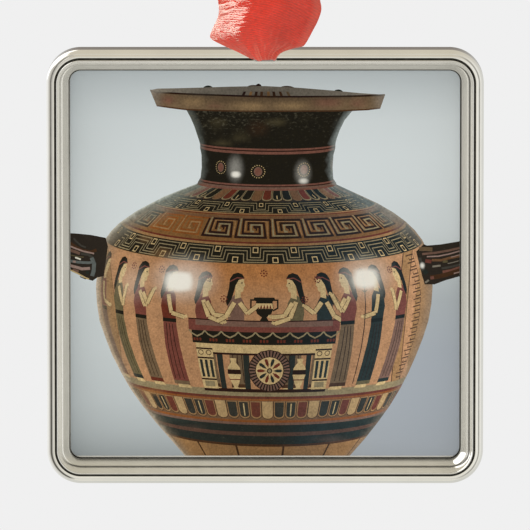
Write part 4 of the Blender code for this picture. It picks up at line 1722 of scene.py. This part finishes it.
# Soft white reflections printed on the vase: centre, half width, half height, strength and softness
GLARES = (
    (-11.9, -2.4, 2.5, 1.8, 0.94, 0.55),
    (-9.8, -2.6, 2.0, 2.1, 0.42, 0.9),
    (-11.2, -2.0, 5.4, 3.7, 0.42, 1.0),
    (13.9, -2.0, 2.3, 1.9, 0.92, 0.62),
    (13.7, -1.8, 4.6, 3.6, 0.36, 1.0),
    (-4.05, 12.5, 0.85, 0.6, 0.92, 0.8),
    (-4.1, 13.3, 1.3, 2.2, 0.25, 1.0),
    (5.3, 11.6, 0.85, 0.55, 0.72, 0.9),
    (5.2, 12.7, 1.3, 2.0, 0.28, 1.0),
    (21.75, -0.2, 0.4, 0.5, 0.9, 0.9),
    (-18.3, -2.6, 2.6, 3.4, 0.16, 1.0),
)


def glare_at(point):
    share = 0.0
    for x, z, wide, high, strength, softness in GLARES:
        away = math.hypot((point.x - x) / wide, (point.y - z) / high)
        square = max(abs(point.x - x) / wide, abs(point.y - z) / high)
        reach = away * softness + square * (1 - softness)
        share = max(share, strength * (1 - smooth(1 - softness * 0.9, 1.15, reach)))
    return share


# Faint bluish haze over the right half of the printed body, and paler haze over its lower tongues
COOL_HAZE = (0.001, 0.010, 0.018)
LOW_HAZE = (0.007, 0.011, 0.010)
# The rim's middle, its half width and the tone of its hazy ends, and the tone of the white reflections
RIM_MIDDLE = 0.35
RIM_HALF = 16.2
RIM_VEIL = (140, 134, 128)
GLARE_TONE = (228, 227, 223)


def body_tone(tone, point):
    side = side_of(point)
    shoulder = smooth(2.0, 8.5, point.y)
    lift = 1 + (0.62 if side > 0 else 0.38) * min(1, abs(side) / 0.9) ** 3 - 0.10 * smooth(-14, -24, point.y)
    lift -= 0.10 * smooth(1.0, 2.4, point.y) * (1 - smooth(0.35, 0.75, abs(side)))
    lift -= 0.08 * smooth(-24.6, -25.6, point.y)
    right = smooth(0.0, 0.5, side)
    low = smooth(-17.6, -18.6, point.y) * (1 - smooth(-21.4, -22.4, point.y))
    tone = [value * lift + right * cool + low * pale for value, cool, pale in zip(tone, COOL_HAZE, LOW_HAZE)]
    start = (0.91 if side > 0 else 0.86) - 0.30 * shoulder
    haze = smooth(start, 1.02, abs(side)) * (0.78 + 0.1 * shoulder - (0.1 if side > 0 else 0))
    rim = (38 - math.copysign(32, side)) * smooth(0.96, 1.0, abs(side))
    blue = 12 if side > 0 else 0
    veil = (124 - 4 * shoulder, 113 + 14 * shoulder + blue / 3, 98 + 24 * shoulder + blue)
    return blended(tone, linear_tone([value + rim for value in veil]), haze)


def neck_tone(tone, point):
    side = side_of(point)
    veil = linear_tone((118 + 22 * side, 126 + 24 * side, 126 + 26 * side))
    return blended(tone, veil, smooth(0.90, 1.0, abs(side)) * 0.66)


def rim_tone(tone, point):
    away = abs(point.x - RIM_MIDDLE)
    shade = 0.72 + 0.28 * smooth(23.3, 22.2, point.y) + 0.35 * smooth(4, 15, away)
    haze = smooth(0.86, 1.0, away / RIM_HALF) * 0.5
    return blended([value * shade for value in tone], linear_tone(RIM_VEIL), haze)


SHADED = {"body": body_tone, "neck": neck_tone, "rim": rim_tone}


def printed_tone(ink, surface, point):
    """The colour of an ink at a place in the picture, with the light and shade that are printed there."""
    if surface == "wall":
        return wall_shade(point)
    tone = stained(linear_tone(INKS[ink]), point)
    if ink == "clay":
        warmth = 0.8 * smooth(-6, -0.5, point.y) * (1 - smooth(9, 17, abs(point.x + 1)))
        tone = blended(tone, linear_tone(INKS["amber"]), warmth)
    if surface in SHADED:
        tone = SHADED[surface](tone, point)
    return blended(tone, linear_tone(GLARE_TONE), glare_at(point))


def wear_at(surface, point):
    """How much of the dark glaze is rubbed and flaked there."""
    if surface == "neck":
        return 0.45 + 0.55 * smooth(15.8, 20.6, point.y) * (0.65 + 0.35 * smooth(4, -6, point.x))
    if surface == "body":
        return 0.30 + 0.25 * smooth(0, 3, point.y) + 0.25 * smooth(-16, -20, point.y)
    return 0.35 if surface in ("rim", "handle") else 0.0


def shading_points():
    """Extra points that let the printed shading turn smoothly, closer together at the bright reflections."""
    half = panel_half()
    count = int(2 * half / SHADE_SPACING)
    points = []
    for row in range(count):
        for column in range(count):
            x = (column + 0.5 + 0.5 * (row % 2)) * SHADE_SPACING - half
            points.append(Vector((x, (row + 0.5) * SHADE_SPACING - half)))
    for x, z, wide, high, _, _ in GLARES:
        for row in range(-GLARE_STEPS, GLARE_STEPS + 1):
            for column in range(-GLARE_STEPS, GLARE_STEPS + 1):
                reach = Vector((wide * column, high * row)) * GLARE_REACH / GLARE_STEPS
                points.append(Vector((x, z)) + reach)
    return points


def topmost_shapes(shapes, vertices, triangles):
    """The last shape laid over each triangle's centre, or -1 outside the first shape, which is the panel."""
    spots = numpy.array([[sum(vertices[index][axis] for index in triangle) / 3 for axis in (0, 1)]
                         for triangle in triangles])
    owners = numpy.full(len(triangles), -1)
    for number, (points, _, _) in enumerate(shapes):
        outline = numpy.array([(point.x, point.y) for point in points])
        near = numpy.all((spots >= outline.min(axis=0)) & (spots <= outline.max(axis=0)), axis=1)
        chosen = numpy.flatnonzero(near & ((owners >= 0) | (number == 0)))
        x, y = spots[chosen].T
        inside = numpy.zeros(len(chosen), dtype=bool)
        for (x0, y0), (x1, y1) in zip(outline, numpy.roll(outline, -1, axis=0)):
            if y0 != y1:
                crossing = x0 + (y - y0) / (y1 - y0) * (x1 - x0)
                inside ^= ((y0 > y) != (y1 > y)) & (x < crossing)
        owners[chosen[inside]] = number
    return owners


def picture_mesh():
    """One flat mesh cut along the edges of every printed shape, with a colour at every corner."""
    picture = Picture()
    edge = recess_inset() + PANEL_EDGE_CLEARANCE + PANEL_BEVEL
    ring = rounded_square(edge, 0, CORNER_STEPS)
    outline = [Vector((point.x * 1000, (point.z - frame_centre_z()) * 1000)) for point in ring]
    foot = min(point.y for point in outline) + PRINT_SHORT
    outline = [Vector((point.x, max(foot, point.y))) for point in outline]
    picture.paint(divided(outline, LONGEST_EDGE), "paper", "wall")
    paint_body(picture)
    paint_neck(picture)
    paint_ground(picture)
    paint_rim(picture)
    paint_handles(picture)
    places, edges = [], []
    for points, _, _ in picture.shapes:
        first = len(places)
        edges += [(first + index, first + (index + 1) % len(points)) for index in range(len(points))]
        places += points
    places += shading_points()
    vertices, _, triangles, _, _, _ = delaunay_2d_cdt(places, edges, [], 0, 0.002)
    owners = topmost_shapes(picture.shapes, vertices, triangles)
    front_y = depth_to_y(panel_face_height()) - PRINT_LIFT
    bm = bmesh.new()
    marks = bm.loops.layers.float_color.new("print")
    worn_and_faded = bm.loops.layers.float_color.new("wear")
    corners = [bm.verts.new((v.x / 1000, front_y, frame_centre_z() + v.y / 1000)) for v in vertices]
    for triangle, owner in zip(triangles, owners):
        if owner < 0:
            continue
        _, ink, surface = picture.shapes[owner]
        face = bm.faces.new([corners[index] for index in reversed(triangle)])
        for loop, index in zip(face.loops, reversed(triangle)):
            tone = printed_tone(ink, surface, vertices[index])
            mottle = MOTTLE[surface] * (1 - 0.9 * glare_at(vertices[index]))
            loop[marks] = (*[max(0, value - GLOSS_VEIL) / PRINT_LIGHT for value in tone], mottle)
            loop[worn_and_faded] = (*[wear_at(surface, vertices[index])] * 3, 1)
    loose = [vertex for vertex in bm.verts if not vertex.link_faces]
    bmesh.ops.delete(bm, geom=loose, context="VERTS")
    return mesh_from(bm, "picture")


def print_material():
    """Printed ink under a clear coat. The vase is printed mottled, with its dark glaze flaked."""
    material, nodes, shader = new_material("printed_picture")
    ink = nodes.add("ShaderNodeAttribute", attribute_name="print", attribute_type="GEOMETRY")
    wear = nodes.add("ShaderNodeAttribute", attribute_name="wear", attribute_type="GEOMETRY").outputs["Fac"]
    position = nodes.position()
    grain = nodes.noise(position, 3600.0, 3.0, 0.65)
    stains = nodes.noise(position, 800.0, 4.0, 0.65)
    rough = nodes.plus(nodes.times(grain, 0.6), nodes.times(stains, 0.4))
    gain = nodes.scaled(nodes.minus(rough, 0.5), 2.1, 1.0)
    shade = nodes.grey(gain)
    mottled = nodes.mix(ink.outputs["Alpha"], ink.outputs["Color"], shade, "MULTIPLY")
    streaky = nodes.stretched(position, (1.0, 1.0, 2.2))
    flakes = nodes.plus(nodes.noise(streaky, 1500.0, 5.0, 0.75), nodes.times(wear, 0.16))
    bare_and_edge_shade = nodes.ramp(flakes, [(0.665, 0.0), (0.80, 0.55)])
    rubbed = nodes.mix(nodes.times(bare_and_edge_shade, wear), mottled, (0.14, 0.13, 0.09, 1))
    connect(nodes, nodes.mix(ink.outputs["Alpha"], ink.outputs["Color"], rubbed), shader, "Base Color")
    shader.inputs["Roughness"].default_value = 0.22
    shader.inputs["Specular IOR Level"].default_value = 0.12
    return material


def make_panel(sheet, paint):
    edge = recess_inset() + PANEL_EDGE_CLEARANCE
    back_y = depth_to_y(BACK_PLATE_THICKNESS + PANEL_SEAT_GAP)
    front_y = depth_to_y(panel_face_height())
    rings = [
        rounded_square(edge, back_y, CORNER_STEPS),
        rounded_square(edge, front_y + PANEL_BEVEL, CORNER_STEPS),
        rounded_square(edge + PANEL_BEVEL, front_y, CORNER_STEPS),
    ]
    panel = add_object("printed_sheet", mesh_of_rings("printed_sheet", rings), sheet)
    picture = add_object("picture_print", picture_mesh(), paint)
    for ray in ("glossy", "diffuse", "shadow"):
        setattr(picture, "visible_" + ray, False)
    make_lamp("panel_lamp", "SUN", PANEL_LAMP_AWAY, Vector(), PANEL_LAMP_POWER, panel)
    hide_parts("picture_panel")
    for piece in (panel, picture):
        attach(piece, "root")


def sheet_material():
    """The white-coated metal sheet under the print, seen only at its bevelled edge, with painted shade on
    that edge except along the left and the bottom bar.
    """
    material, nodes, shader = new_material("coated_sheet")
    position = nodes.position()
    grain = nodes.noise(position, 500.0, 2.0)
    tone = nodes.ramp(grain, [(0.3, (0.88, 0.88, 0.86)), (0.7, (0.94, 0.94, 0.92))])
    inset = inset_from_edge(nodes, position)
    # Painted shade: the bevelled edge is painted dark, except along the left and the bottom bar.
    cut = nodes.math("LESS_THAN", inset, recess_inset() + PANEL_EDGE_CLEARANCE + PANEL_BEVEL * 0.9)
    left, _, bottom = bar_weights(nodes, position)
    bare_and_edge_shade = nodes.minus(cut, nodes.plus(left, bottom), clamp=True)
    tone = nodes.mix(bare_and_edge_shade, tone, (0.16, 0.16, 0.15, 1))
    connect(nodes, tone, shader, "Base Color")
    shader.inputs["Roughness"].default_value = 0.4
    return material


def main():
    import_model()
    make_camera()
    make_world()
    make_floor()
    light_corner(make_frame(silver_material()))
    make_panel(sheet_material(), print_material())
    light_ribbon(make_ribbon(satin_material()))
    bpy.context.scene.view_settings.view_transform = "Standard"


main()
